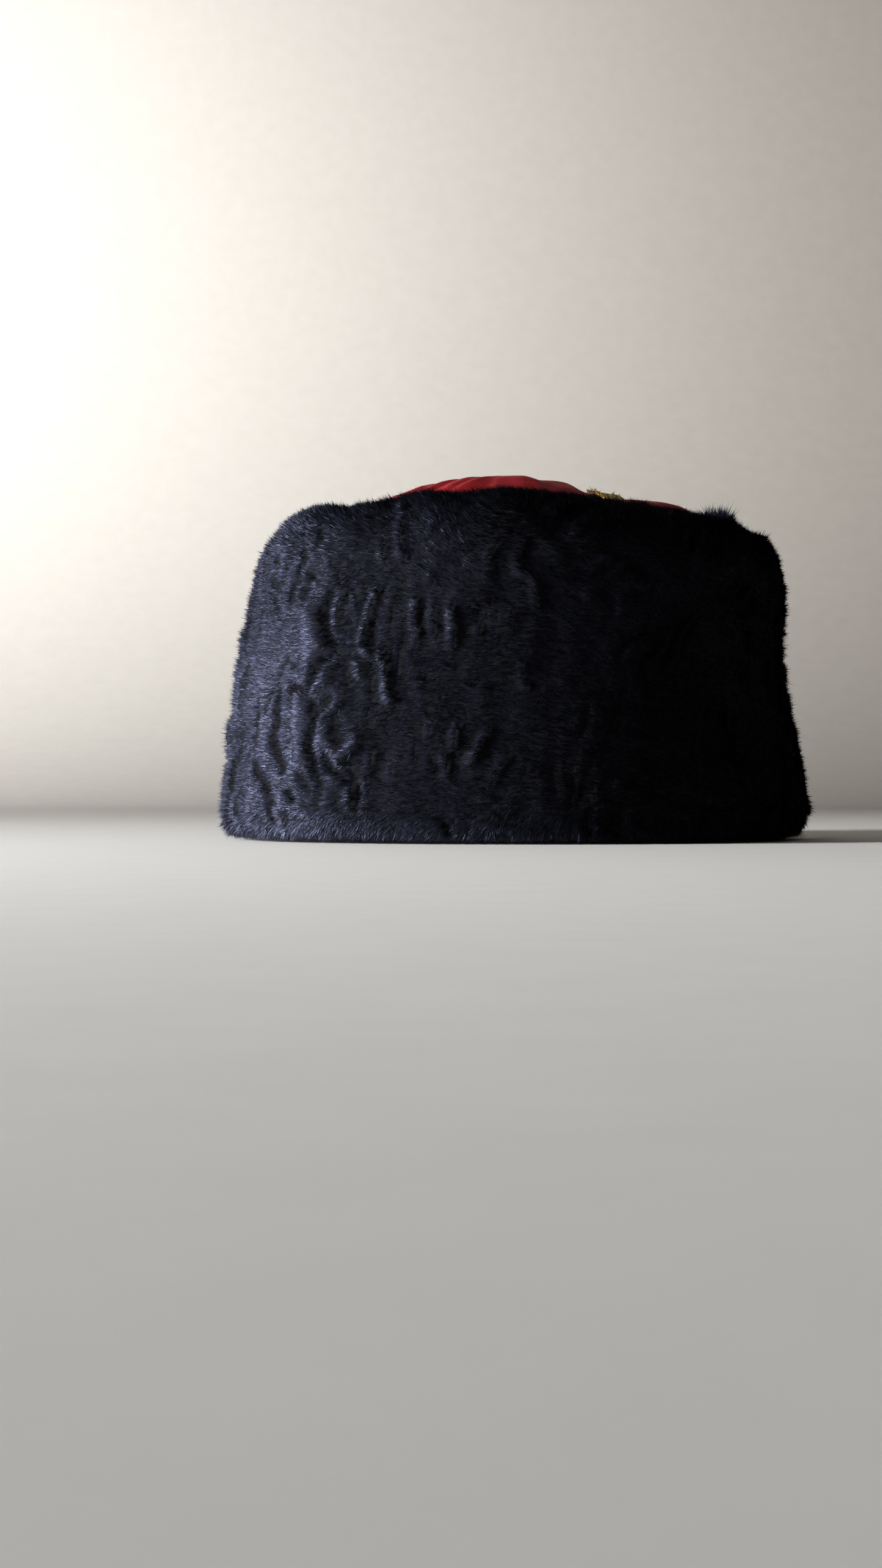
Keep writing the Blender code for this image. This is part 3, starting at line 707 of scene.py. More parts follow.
def build_pile(grids, tints):
    """Hairs in four quarters of the band, each a long thin blade of one face."""
    points = grids["points"]
    normals, around, along = surface_normals(points, False)
    d1 = np.roll(points, -1, axis=1)[:-1] - points[:-1]
    d2 = points[1:] - points[:-1]
    area = np.linalg.norm(np.cross(d1, d2), axis=-1)
    v = grids["v"][:-1]
    # few hairs where nothing sees them: under the rim and deep inside it
    weight = area * (0.20 + 0.80 * smooth_step(-3.0, 2.0, v))
    weight *= 1.0 - 0.5 * smooth_step(grids["lip"] - 8.0, grids["lip"], v)
    quarter = ((ANGLES[None, :] + math.pi / 4) // (math.pi / 2)).astype(int) % 4 + 0 * area.astype(int)
    names = {0: "fur_pile_back", 1: "fur_pile_right", 2: "fur_pile_front", 3: "fur_pile_left"}
    total = weight.sum()
    made = []
    for q in range(4):
        rng = np.random.default_rng(700 + q)
        mine = np.where(quarter == q, weight, 0.0).ravel()
        count = min(int(4 * HAIRS_PER_PIECE * mine.sum() / total), 195000)
        cells = rng.choice(mine.size, size=count, p=mine / mine.sum())
        r, c = np.divmod(cells, COLUMNS)
        fr, fc = rng.random(count), rng.random(count)
        root = sample(points, r, c, fr, fc)
        n = unit(sample(normals, r, c, fr, fc))
        a = unit(sample(around, r, c, fr, fc))
        up = unit(sample(along, r, c, fr, fc))
        s = (c + fc) * (PERIMETER / COLUMNS)
        vv = sample(grids["v"], r, c, fr, fc)
        ridge = sample(grids["ridge"], r, c, fr, fc)
        tuft = sample(grids["tuft"], r, c, fr, fc)
        dull = sample(grids["dull"], r, c, fr, fc)
        # the painted crease shade, matt tints, shows where a hair crosses a crease, not only where the hair is
        # rooted
        crease = sample(grids["crease"], r, c, fr, fc)
        crossed = np.maximum(crease, sample(grids["crease"], r, (c - 1) % COLUMNS, fr, fc))

        # wisps: hairs of one cell lean together and close up at their tips
        size = 1.6
        cell_s, cell_v = s / size, vv / size
        shift = noise(cell_s * 0.6, cell_v * 0.6, 0.0, 61) * 0.8
        cell_s, cell_v = cell_s + shift, cell_v - shift * 0.7
        ks, kv = np.floor(cell_s).astype(np.int64), np.floor(cell_v).astype(np.int64)
        zero = np.zeros_like(ks)
        to_s = (0.5 + 0.32 * lattice(ks, kv, zero, 62) - (cell_s - ks)) * size
        to_v = (0.5 + 0.32 * lattice(ks, kv, zero, 63) - (cell_v - kv)) * size
        turn_wisp = lattice(ks, kv, zero, 64)
        rise_wisp = lattice(ks, kv, zero, 65)
        long_wisp = lattice(ks, kv, zero, 67)

        # the nap runs round the hat towards the front on the wearer's left,
        # a little downward, more so at the rim
        x, y, z = pattern_place(s, vv)
        drift = noise(x / 30, y / 30, z / 30, 71)
        rim = smooth_step(16.0, 0.0, vv)
        top = smooth_step(grids["lip"] - 52.0, grids["lip"] - 26.0, vv)
        swirl = noise(x / 11, y / 11, z / 11, 72)
        turn = (0.04 + 0.34 * drift + 0.20 * swirl - 0.95 * rim + 0.05 * top
                + 0.20 * turn_wisp + 0.22 * rng.standard_normal(count))
        nap = -a * np.cos(turn)[:, None] + up * np.sin(turn)[:, None]
        # a wisp here and there stands up out of the nap
        # more at the front and back ends and along the top
        up_wisp = smooth_step(0.60, 0.95, lattice(ks, kv, zero, 66))
        ends = smooth_step(36.0, 14.0, np.abs(root[:, 1])) * smooth_step(90.0, 100.0, np.abs(root[:, 0]))
        stand = 0.16 + 0.42 * ends + 0.42 * top
        spiky = np.clip(0.5 * top + 0.6 * ends + 1.2 * tuft, 0.0, 1.0)
        rise = (0.13 + 0.07 * rise_wisp + stand * up_wisp + (0.09 + 0.10 * top) * rng.standard_normal(count)
                + 0.26 * top + 0.12 * rim + 0.08 * ridge + 0.9 * tuft)
        rise = np.clip(rise, 0.12, 1.35)
        length = ((3.0 - 0.1 * top + 0.3 * rim + 2.0 * tuft) * (1.0 + 0.16 * rng.standard_normal(count))
                  * (1.0 - 0.30 * crease))
        length *= 1.0 - 0.25 * smooth_step(grids["lip"] - 10.0, grids["lip"], vv)
        length *= 1.0 + (0.26 * spiky + 0.30 * tuft) * long_wisp
        stray = rng.random(count) < 0.07 + 0.09 * spiky
        length = np.where(stray, length * 1.08, np.clip(length, 2.0, 6.4))
        rise = np.where(stray, rise + rng.uniform(0.2, 0.65, count), rise)
        way = nap * np.cos(rise)[:, None] + n * np.sin(rise)[:, None]
        close = (0.42 + 0.34 * spiky + 0.12 * tuft) * np.where(stray, 0.2, 1.0)
        tip = root + way * length[:, None] + (a * to_s[:, None] + up * to_v[:, None]) * close[:, None]
        floor = 0.15 + 0.5 * rng.random(count)
        tip[:, 2] = np.maximum(tip[:, 2], floor)
        root[:, 2] = np.maximum(root[:, 2], 0.3)

        way = unit(tip - root)
        across = unit(np.cross(way, n))
        roll = rng.uniform(-0.65, 0.65, count)
        lift = np.cross(across, way)
        across = across * np.cos(roll)[:, None] + lift * np.sin(roll)[:, None]
        width = 0.235 * (1.0 + 0.25 * rng.standard_normal(count)).clip(0.5, 1.6)
        width = width * np.where(stray, 1.0 + 0.5 * spiky, 1.0)
        base = root - n * 0.25
        verts = np.stack([base - across * (width / 2)[:, None], base + across * (width / 2)[:, None], tip], axis=1)
        # the face looks outward
        facing = np.einsum("ij,ij->i", np.cross(verts[:, 1] - verts[:, 0], verts[:, 2] - verts[:, 0]), n)
        verts[facing < 0] = verts[facing < 0][:, [1, 0, 2]]
        # painted shade and highlight: the matt, darkest tints go in the creases, the glossiest, palest ones on the
        # ridges and crests, and more glossy tints on the lower front, a painted sheen there
        lower_front_sheen = smooth_step(-60.0, -84.0, root[:, 0]) * smooth_step(86.0, 58.0, root[:, 2])
        # painted shade: at the very front, and low towards the back, the nap gets duller, darker tints
        front_edge_shade = smooth_step(-97.0, -105.0, root[:, 0])
        low_back_shade = (smooth_step(2.0, 30.0, root[:, 0]) * smooth_step(80.0, 30.0, root[:, 2])
                    * smooth_step(0.0, -30.0, root[:, 1]))
        crest = smooth_step(0.45, 0.95, ridge) * smooth_step(-86.0, -72.0, root[:, 0])
        pick = (0.06 + 0.80 * rng.random(count) + 0.34 * ridge + 0.20 * crest - 0.80 * crossed - 0.20 * dull
                + 0.30 * lower_front_sheen + 0.10 * drift - 0.24 * front_edge_shade - 0.50 * low_back_shade)
        kind = np.digitize(pick, [0.10, 0.46, 0.74, 0.93])
        faces = np.arange(count * 3).reshape(-1, 3)
        made.append(make_mesh(names[q], verts.reshape(-1, 3) * MM, faces, tints, kind, False))
    return made


# ================================================================= the crown
CROWN_FRONT, CROWN_BACK, CROWN_SIDE = 70.3, 75.9, 57.5
CROWN_EDGE_Z, CROWN_SEAM_Z, CROWN_CLOTH = 119.5, 127.0, 2.0
CREST = np.array([
    # x        z, height of the puffs' crest
    (-70.4,  127.6), (-60.0,  130.0), (-46.0,  134.6), (-36.0,  138.2), (-29.0,  140.2),
    (-22.0,  141.8), (-14.0,  142.4), (-6.0,   142.6), (2.0,    142.8), (8.0,    142.1),
    (13.0,   142.1), (20.0,   141.8), (28.0,   139.7), (36.0,   138.9), (46.0,   138.5),
    (58.0,   137.2), (66.0,   135.8), (76.0,   127.6),
])
CREST_POWER, CREST_ROUND = 2.6, 0.80
CROSS_X, CROSS_SKEW = 30.5, math.radians(10.0)
VALLEY_LONG = (0.34, 0.20)
VALLEY_CROSS = (2.4, 9.5)
BRAID_WIDTH = 9.0


def smooth_table(rows, x):
    """Values between the rows of a table, through a smooth curve."""
    xs, ys = rows[:, 0], rows[:, 1]
    slope = np.diff(ys) / np.diff(xs)
    same = slope[:-1] * slope[1:] > 0
    tangent = np.concatenate([[slope[0]], np.where(
        same, 2 * slope[:-1] * slope[1:] / np.where(same, slope[:-1] + slope[1:], 1.0), 0.0), [slope[-1]]])
    x = np.clip(x, xs[0], xs[-1])
    i = np.clip(np.searchsorted(xs, x, side="right") - 1, 0, len(xs) - 2)
    h = xs[i + 1] - xs[i]
    t = (x - xs[i]) / h
    return ((2 * t ** 3 - 3 * t ** 2 + 1) * ys[i] + (t ** 3 - 2 * t ** 2 + t) * h * tangent[i]
            + (-2 * t ** 3 + 3 * t ** 2) * ys[i + 1] + (t ** 3 - t ** 2) * h * tangent[i + 1])


def puff(v):
    depth, half = VALLEY_LONG
    dome = np.maximum(1.0 - v ** CREST_POWER, 0.0) ** CREST_ROUND
    return dome * (1.0 - depth * np.exp(-(v / half) ** 2))


PUFF_CREST = float(puff(np.linspace(0, 1, 400)).max())


def crown_size_at(x, y):
    """Half-width of the crown at x, and how far out (x, y) lies: 1 is the seam."""
    length = np.where(x > 0.0, CROWN_BACK, CROWN_FRONT)
    u = np.minimum(np.abs(x) / length, 1.0)
    width = CROWN_SIDE * np.maximum(1.0 - u ** OVAL_POWER, 0.0) ** (1.0 / OVAL_POWER)
    ring = (u ** OVAL_POWER + (np.abs(y) / CROWN_SIDE) ** OVAL_POWER) ** (1.0 / OVAL_POWER)
    return width, ring


def strip_offset(x, y):
    """Distance from the middle of the left-right strip, mm."""
    return (x - (CROSS_X - y * math.tan(CROSS_SKEW))) * math.cos(CROSS_SKEW)


def crown_height(x, y, details=True):
    """Height of the satin over the rim's plane, mm."""
    x, y = np.asarray(x, float), np.asarray(y, float)
    width, ring = crown_size_at(x, y)
    v = np.minimum(np.abs(y) / np.maximum(width, 1e-6), 1.0)
    z = CROWN_SEAM_Z + (smooth_table(CREST, x) - CROWN_SEAM_Z) * puff(v) / PUFF_CREST
    inside = smooth_step(1.0, 0.78, ring)
    depth, half = VALLEY_CROSS
    off = strip_offset(x, y)
    z = z - inside * depth * np.exp(-(off / half) ** 2)
    if details:
        angle = np.arctan2(y / CROWN_SIDE, x / CROWN_BACK)
        # gathers that run in from the seam
        gather = noise(np.cos(angle) * 9.5, np.sin(angle) * 9.5, 0.25 * ring, 81)
        gather = gather + 0.5 * noise(np.cos(angle) * 21, np.sin(angle) * 21, 0.5 * ring, 82)
        z = z + 0.75 * gather * smooth_step(0.45, 0.93, ring) * smooth_step(1.0, 0.95, ring)
        # puckers at both sides of the strips, where the stitching pulls
        near_long = np.exp(-((np.abs(y) - 8.5) / 5.0) ** 2) * inside
        near_cross = np.exp(-((np.abs(off) - 8.5) / 5.0) ** 2) * inside
        z = z + 0.34 * near_long * noise(x / 4.3, np.sign(y) * 3.0, y / 26, 83)
        z = z + 0.34 * near_cross * noise(y / 4.3, np.sign(off) * 3.0 + 9.0, off / 26, 84)
        # the satin's slack: broad soft hollows and one sharper fold on each side
        away = smooth_step(6.0, 16.0, np.abs(y)) * inside
        z = z + 0.9 * away * fbm(x / 21, y / 17, 0.0, 85)
        for at, lean, deep, wide in ((-20.0, -0.95, 0.65, 2.6), (-9.0, -0.85, 0.45, 2.0), (-31.0, -0.80, 0.4, 2.4)):
            line = x - (at + lean * (np.abs(y) - 24.0))
            z = z - deep * away * np.exp(-(line / wide) ** 2) * smooth_step(56.0, 40.0, np.abs(y))
            z = z + 0.6 * deep * away * np.exp(-((line - 1.9 * wide) / (1.2 * wide)) ** 2)
        fold = x - (7.5 + 0.22 * (np.abs(y) - 20.0))
        z = z - 0.35 * away * np.exp(-(fold / 1.8) ** 2) * smooth_step(52.0, 30.0, np.abs(y))
        z = z + 0.35 * away * np.exp(-((fold + 4.0) / 3.0) ** 2)
    z = np.maximum(z, CROWN_SEAM_Z + 0.2 - 1.4 * smooth_step(0.985, 1.0, ring))
    return z - fall(x, z)


def build_crown(satin, back):
    columns, rings = 260, 78
    angle = np.arange(columns) / columns * TAU
    share = 1.0 - np.linspace(0.0, 1.0, rings) ** 1.15 * 0.99
    share[0] = 1.0
    rows = []
    for height, pull in ((CROWN_EDGE_Z, 0.0), (123.0, 0.0), (125.4, 0.0)):
        x, y = oval_points(CROWN_FRONT - pull, CROWN_BACK - pull, CROWN_SIDE - pull, angle)
        rows.append(np.stack([x, y, height - fall(x, height)], -1))
    for k in share[1:]:
        x, y = oval_points(CROWN_FRONT * k, CROWN_BACK * k, CROWN_SIDE * k, angle)
        rows.append(np.stack([x, y, crown_height(x, y)], -1))
    outside_rows = len(rows)
    # the inside: the same form, one cloth thickness down, more coarsely
    inner = []
    for k in np.linspace(0.012, 0.955, 18):
        x, y = oval_points(CROWN_FRONT * k, CROWN_BACK * k, CROWN_SIDE * k, angle)
        inner.append(np.stack([x, y, np.minimum(crown_height(x, y, False), crown_height(x, y)) - CROWN_CLOTH], -1))
    for height in (123.0, CROWN_EDGE_Z):
        x, y = oval_points(CROWN_FRONT - CROWN_CLOTH, CROWN_BACK - CROWN_CLOTH, CROWN_SIDE - CROWN_CLOTH, angle)
        inner.append(np.stack([x, y, height - fall(x, height)], -1))
    grid = np.array(rows + inner)
    count = len(grid)
    quads = grid_quads(count, columns, True)
    row_of = np.repeat(np.arange(count), columns)
    keep = row_of != outside_rows - 1          # the two middles are closed by fans
    quads, row_of = quads[keep], row_of[keep]
    verts = grid.reshape(-1, 3)
    top, low = len(verts), len(verts) + 1
    z0 = float(crown_height(0.0, 0.0))
    verts = np.vstack([verts, [[0.0, 0.0, z0]], [[0.0, 0.0, z0 - CROWN_CLOTH]]])
    c = np.arange(columns)
    last = (outside_rows - 1) * columns
    first = outside_rows * columns
    fan_top = np.stack([last + c, last + (c + 1) % columns, np.full(columns, top)], 1)
    fan_low = np.stack([first + (c + 1) % columns, first + c, np.full(columns, low)], 1)
    tris = np.vstack([quads[:, [0, 1, 2]], quads[:, [0, 2, 3]], fan_top, fan_low])
    kinds = np.concatenate([(row_of >= outside_rows).astype(np.int32)] * 2
                           + [np.zeros(columns, np.int32), np.ones(columns, np.int32)])
    return make_mesh("satin_crown", verts * MM, tris, [satin, back], kinds, True)


# ================================================================ the braids
def strip_frame(along, count, extra=None):
    """A smooth ribbon laid on the crown: middle, edge-to-edge and upward
    directions at even steps, and the length. extra(x, y) is anything on the crown."""
    t = np.linspace(0.0, 1.0, count)
    x, y = along(t)
    dx, dy = np.gradient(x), np.gradient(y)
    size = np.hypot(dx, dy)
    nx, ny = -dy / size, dx / size
    half = BRAID_WIDTH / 2.0
    tops = []
    for a in np.linspace(-1.0, 1.0, 9):
        px, py = x + nx * a * half, y + ny * a * half
        z = crown_height(px, py)
        if extra is not None:
            z = np.maximum(z, extra(px, py))
        tops.append(z)
    tops = np.array(tops)
    line = tops[0] + (tops[-1] - tops[0]) * np.linspace(0, 1, 9)[:, None]
    raise_by = np.maximum((tops - line).max(axis=0), 0.0)
    edges = []
    for need in (tops[0] + raise_by, tops[-1] + raise_by):
        z = need.copy()
        for _ in range(30):
            mean = z.copy()
            mean[1:-1] = (z[:-2] + 2 * z[1:-1] + z[2:]) / 4
            z = np.maximum(mean, need)
        edges.append(z)
    low, high = edges
    middle = np.stack([x, y, (low + high) / 2], -1)
    side = unit(np.stack([nx * BRAID_WIDTH, ny * BRAID_WIDTH, high - low], -1))
    ahead = unit(np.gradient(middle, axis=0))
    up = unit(np.cross(ahead, side))
    up = np.where(up[:, 2:3] < 0, -up, up)
    run = np.concatenate([[0.0], np.cumsum(np.linalg.norm(np.diff(middle, axis=0), axis=1))])
    return {"middle": middle, "side": side, "up": up, "ahead": ahead, "run": run}


def ribbon_point(strip, run, across, lift):
    """Points at a distance along the ribbon, across it and above it, mm."""
    def at(key):
        return np.stack([np.interp(run, strip["run"], strip[key][:, k]) for k in range(3)], -1)
    return at("middle") + at("side") * across[:, None] + at("up") * lift[:, None]


def tube(path, sides, radius_across, radius_up, twist=0.0, lobes=0, depth=0.0):
    """A closed tube along a path, mm. radius_across and radius_up are its
    half-sizes; lobes and depth press a twisted rope's grooves into it."""
    count = len(path)
    ahead = unit(np.gradient(path, axis=0))
    up = np.tile([0.0, 0.0, 1.0], (count, 1))
    side = unit(np.cross(up, ahead))
    up = np.cross(ahead, side)
    run = np.concatenate([[0.0], np.cumsum(np.linalg.norm(np.diff(path, axis=0), axis=1))])
    angle = np.arange(sides) / sides * TAU
    swell = 1.0 + depth * np.cos(lobes * (angle[None, :] - twist * run[:, None]))
    ends = np.clip(np.minimum(run, run[-1] - run) / (radius_up * 1.2), 0.0, 1.0)
    swell = swell * np.sqrt(np.maximum(1 - (1 - ends) ** 2, 0.02))[:, None]
    points = (path[:, None, :] + side[:, None, :] * (np.cos(angle) * radius_across * swell)[..., None]
              + up[:, None, :] * (np.sin(angle) * radius_up * swell)[..., None])
    verts = np.vstack([points.reshape(-1, 3), path[:1], path[-1:]])
    quads = grid_quads(count, sides, False)
    c = np.arange(sides)
    k = count * sides
    caps = np.vstack([np.stack([(c + 1) % sides, c, np.full(sides, k)], 1),
                      np.stack([k - sides + c, k - sides + (c + 1) % sides, np.full(sides, k + 1)], 1)])
    tris = np.vstack([quads[:, [0, 1, 2]], quads[:, [0, 2, 3]], caps])
    # where each corner lies on the unrolled thread, in metres
    girth = TAU * math.sqrt(radius_across * radius_up)
    row, col = np.divmod(quads, sides)
    wrap = (col == 0) & (np.arange(4) % 4 != 0) & (col[:, :1] == sides - 1)
    u = (col + wrap * sides) / sides * girth * MM
    w = run[row] * MM
    quad_uv = np.stack([u, w], -1)
    cap_uv = np.zeros((len(caps), 3, 2))
    cap_uv[len(c):, :, 1] = run[-1] * MM
    uv = np.concatenate([quad_uv[:, [0, 1, 2]], quad_uv[:, [0, 2, 3]], cap_uv])
    return verts, tris, uv


def joined(parts):
    """Several tubes as one set of arrays."""
    verts, tris, uvs, start = [], [], [], 0
    for v, t, uv in parts:
        verts.append(v)
        tris.append(t + start)
        uvs.append(uv)
        start += len(v)
    return np.vstack(verts), np.vstack(tris), np.concatenate(uvs)


def spikes(strip, places, rng, gold_length):
    """Frayed ends of metal thread that stand out of the braid's edges."""
    parts = []
    for run, across, lean_out in places:
        length = gold_length * rng.uniform(0.5, 1.25)
        start = ribbon_point(strip, np.array([run]), np.array([across]), np.array([1.2]))[0]
        side = np.array([np.interp(run, strip["run"], strip["side"][:, k]) for k in range(3)])
        ahead = np.array([np.interp(run, strip["run"], strip["ahead"][:, k]) for k in range(3)])
        up = np.array([0.0, 0.0, 1.0])
        way = unit(side * lean_out * rng.uniform(0.1, 0.9) + ahead * rng.uniform(-0.6, 0.6)
                   + up * rng.uniform(0.5, 1.3))
        curl = unit(side * rng.uniform(-1, 1) + ahead * rng.uniform(-1, 1)) * rng.uniform(0.1, 0.5)
        t = np.linspace(0.0, 1.0, 5)
        path = start + way * (t * length)[:, None] + curl * (t ** 2 * length * 0.7)[:, None]
        r = 0.13 * rng.uniform(0.7, 1.3)
        parts.append(tube(path, 3, r, r))
    return parts


def build_braid(name, gold, along, seed, extra=None, frayed=()):
    """A flat plait of six wound threads between two corded edges."""
    rng = np.random.default_rng(seed)
    strip = strip_frame(along, 400, extra)
    length = strip["run"][-1]
    parts = []
    half = BRAID_WIDTH / 2.0
    # threads of the plait
    pitch, threads = 8.4, 6
    run = np.arange(0.35, length - 0.3, 0.62)
    reach = half - 1.75
    for k in range(threads):
        phase = TAU * k / threads
        across = reach * np.sin(TAU * run / pitch + phase)
        across = across * (1.0 + 0.05 * noise(run / 6.0, float(k), 0.0, seed + 1))
        lift = 1.05 + 0.42 * np.sin(2 * (TAU * run / pitch + phase) + (math.pi / 2 if k % 2 else -math.pi / 2))
        path = ribbon_point(strip, run, across, lift)
        parts.append(tube(path, 7, 0.88, 0.52))
    # the corded edges
    run = np.arange(0.2, length - 0.1, 0.36)
    for edge in (-1.0, 1.0):
        across = edge * (half - 0.85) + 0.18 * noise(run / 5.0, edge, 0.0, seed + 2)
        lift = 1.15 + 0.12 * noise(run / 7.0, edge + 5.0, 0.0, seed + 3)
        path = ribbon_point(strip, run, across, lift)
        parts.append(tube(path, 9, 0.88, 0.88, twist=TAU / 3.4, lobes=2, depth=0.20))
    if frayed:
        places = []
        for low, high, edge, count in frayed:
            for _ in range(count):
                places.append((rng.uniform(low, high), edge * (half - rng.uniform(0.0, 1.2)), edge))
        parts.extend(spikes(strip, places, rng, 2.6))
    verts, tris, uv = joined(parts)
    return make_mesh(name, verts * MM, tris, [gold], None, True, ("thread", uv.reshape(-1, 2))), strip


def along_front_back(t):
    stop = 2.4
    return -(CROWN_FRONT - stop) + t * (CROWN_FRONT + CROWN_BACK - 2 * stop), np.zeros_like(t)


def along_left_right(t):
    width, _ = crown_size_at(np.array(CROSS_X + 6.0), np.array(0.0))
    y = (2 * t - 1) * (float(width) - 2.6)
    return CROSS_X - y * math.tan(CROSS_SKEW), y


# ===================================================================== build
pelt, backing = pelt_material(), backing_material()
tints = [
    fur_hair_material("fur_matt", (0.0009, 0.0010, 0.0019), 0.72, 0.08),
    fur_hair_material("fur_black", (0.0014, 0.0015, 0.0033), 0.54, 0.26),
    fur_hair_material("fur_blue_black", (0.0022, 0.0024, 0.0052), 0.50, 0.38),
    fur_hair_material("fur_soot", (0.0034, 0.0035, 0.0068), 0.50, 0.52),
    fur_hair_material("fur_grey_tip", (0.0080, 0.0085, 0.0140), 0.51, 0.82),
]
satin, satin_back, gold = satin_material(), satin_back_material(), gold_material()

fur_pelt, grids = build_band(pelt, backing)
pile = build_pile(grids, tints)
crown = build_crown(satin, satin_back)

braid_long, long_strip = build_braid("gimp_braid_front_back", gold, along_front_back, 5)


def long_braid_top(x, y):
    """Top of the front-back strip, so the other passes over it."""
    z = np.interp(x, long_strip["middle"][:, 0], long_strip["middle"][:, 2]) + 2.05
    return np.where(np.abs(y) < BRAID_WIDTH / 2.0 + 0.8, z, -1e3)


near_crest = (18.0, 38.0)
braid_cross, cross_strip = build_braid(
    "gimp_braid_left_right", gold, along_left_right, 9, long_braid_top,
    frayed=((near_crest[0], near_crest[1], 1.0, 30), (near_crest[0], near_crest[1], -1.0, 9),
            (60.0, 84.0, 1.0, 26), (60.0, 84.0, -1.0, 20)))

for piece in (fur_pelt, *pile):
    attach(piece, "root")
    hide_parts("fur_band", "fur_fold")
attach(crown, "root")
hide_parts("crown_top")
for piece, name in ((braid_long, "braid_front_back"), (braid_cross, "braid_left_right")):
    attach(piece, "root")
    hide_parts(name)


# ===================================================================== stage
ROOM_GLOW = (("From Min", -1.0), ("From Max", 0.7), ("To Min", 0.30), ("To Max", 0.025))
ROOM_COLOUR = (1.0, 0.975, 0.94, 1.0)


def build_stage():
    mat, tree, bsdf = new_material("pale_paper")
    coords = node(tree, "ShaderNodeTexCoord")
    grain = node(tree, "ShaderNodeTexNoise", Scale=60.0, Detail=4.0)
    tree.links.new(coords.outputs["Object"], grain.inputs["Vector"])
    wall_left = ramp(tree, grain.outputs["Fac"], [(0.3, (0.445, 0.428, 0.402)), (0.7, (0.462, 0.445, 0.419))])
    wall_right_shaded = ramp(tree, grain.outputs["Fac"], [(0.3, (0.282, 0.262, 0.238)), (0.7, (0.296, 0.276, 0.251))])
    floor = ramp(tree, grain.outputs["Fac"], [(0.3, (0.80, 0.775, 0.735)), (0.7, (0.82, 0.795, 0.755))])
    # the floor is paler than the wall
    place = node(tree, "ShaderNodeSeparateXYZ")
    tree.links.new(coords.outputs["Object"], place.inputs["Vector"])
    high = node(tree, "ShaderNodeMapRange", interpolation_type="SMOOTHSTEP")
    high.inputs["From Min"].default_value = 0.25
    high.inputs["From Max"].default_value = 1.35
    tree.links.new(place.outputs["Y"], high.inputs["Value"])
    # painted shade: the wall's colour is darker towards its right end, away from the window, where the light falls
    # off
    right = node(tree, "ShaderNodeMapRange", interpolation_type="SMOOTHSTEP")
    right.inputs["From Min"].default_value = -0.75
    right.inputs["From Max"].default_value = 0.75
    tree.links.new(place.outputs["X"], right.inputs["Value"])
    wall = node(tree, "ShaderNodeMixRGB")
    tree.links.new(right.outputs["Result"], wall.inputs["Fac"])
    tree.links.new(wall_left.outputs["Color"], wall.inputs["Color1"])
    tree.links.new(wall_right_shaded.outputs["Color"], wall.inputs["Color2"])
    colour = node(tree, "ShaderNodeMixRGB")
    tree.links.new(high.outputs["Result"], colour.inputs["Fac"])
    tree.links.new(floor.outputs["Color"], colour.inputs["Color1"])
    tree.links.new(wall.outputs["Color"], colour.inputs["Color2"])
    # the floor is darker in front of the window lamp, where it would burn out
    near = node(tree, "ShaderNodeVectorMath", operation="DISTANCE")
    near.inputs[1].default_value = (-1.42, -0.62, 0.0)
    tree.links.new(coords.outputs["Object"], near.inputs[0])
    burn = node(tree, "ShaderNodeMapRange", interpolation_type="SMOOTHSTEP")
    for key, value in (("From Min", 0.10), ("From Max", 1.05), ("To Min", 0.05), ("To Max", 1.0)):
        burn.inputs[key].default_value = value
    tree.links.new(near.outputs["Value"], burn.inputs["Value"])
    # painted light: far away the paper's colour fades to black and it glows with the room's tone instead, so that
    # it has no edge
    away = node(tree, "ShaderNodeVectorMath", operation="LENGTH")
    tree.links.new(coords.outputs["Object"], away.inputs[0])
    fade = node(tree, "ShaderNodeMapRange", interpolation_type="SMOOTHSTEP")
    for key, value in (("From Min", 3.2), ("From Max", 8.0), ("To Min", 0.0), ("To Max", 1.0)):
        fade.inputs[key].default_value = value
    tree.links.new(away.outputs["Value"], fade.inputs["Value"])
    keep = node(tree, "ShaderNodeMath", operation="SUBTRACT")
    keep.inputs[0].default_value = 1.0
    tree.links.new(fade.outputs["Result"], keep.inputs[1])
    share = node(tree, "ShaderNodeMath", operation="MULTIPLY")
    tree.links.new(keep.outputs["Value"], share.inputs[0])
    tree.links.new(burn.outputs["Result"], share.inputs[1])
    paper = node(tree, "ShaderNodeMixRGB")
    paper.inputs["Color1"].default_value = (0.0, 0.0, 0.0, 1.0)
    tree.links.new(share.outputs["Value"], paper.inputs["Fac"])
    tree.links.new(colour.outputs["Color"], paper.inputs["Color2"])
    tree.links.new(paper.outputs["Color"], bsdf.inputs["Base Color"])
    heading = node(tree, "ShaderNodeVectorMath", operation="NORMALIZE")
    tree.links.new(coords.outputs["Object"], heading.inputs[0])
    side = node(tree, "ShaderNodeSeparateXYZ")
    tree.links.new(heading.outputs["Vector"], side.inputs["Vector"])
    tone = node(tree, "ShaderNodeMapRange")
    for key, value in ROOM_GLOW:
        tone.inputs[key].default_value = value
    tree.links.new(side.outputs["X"], tone.inputs["Value"])
    far_paper_glow = node(tree, "ShaderNodeMath", operation="MULTIPLY")
    tree.links.new(tone.outputs["Result"], far_paper_glow.inputs[0])
    tree.links.new(fade.outputs["Result"], far_paper_glow.inputs[1])
    bsdf.inputs["Emission Color"].default_value = ROOM_COLOUR
    tree.links.new(far_paper_glow.outputs["Value"], bsdf.inputs["Emission Strength"])
    bsdf.inputs["Roughness"].default_value = 0.95
    bsdf.inputs["Specular IOR Level"].default_value = 0.1
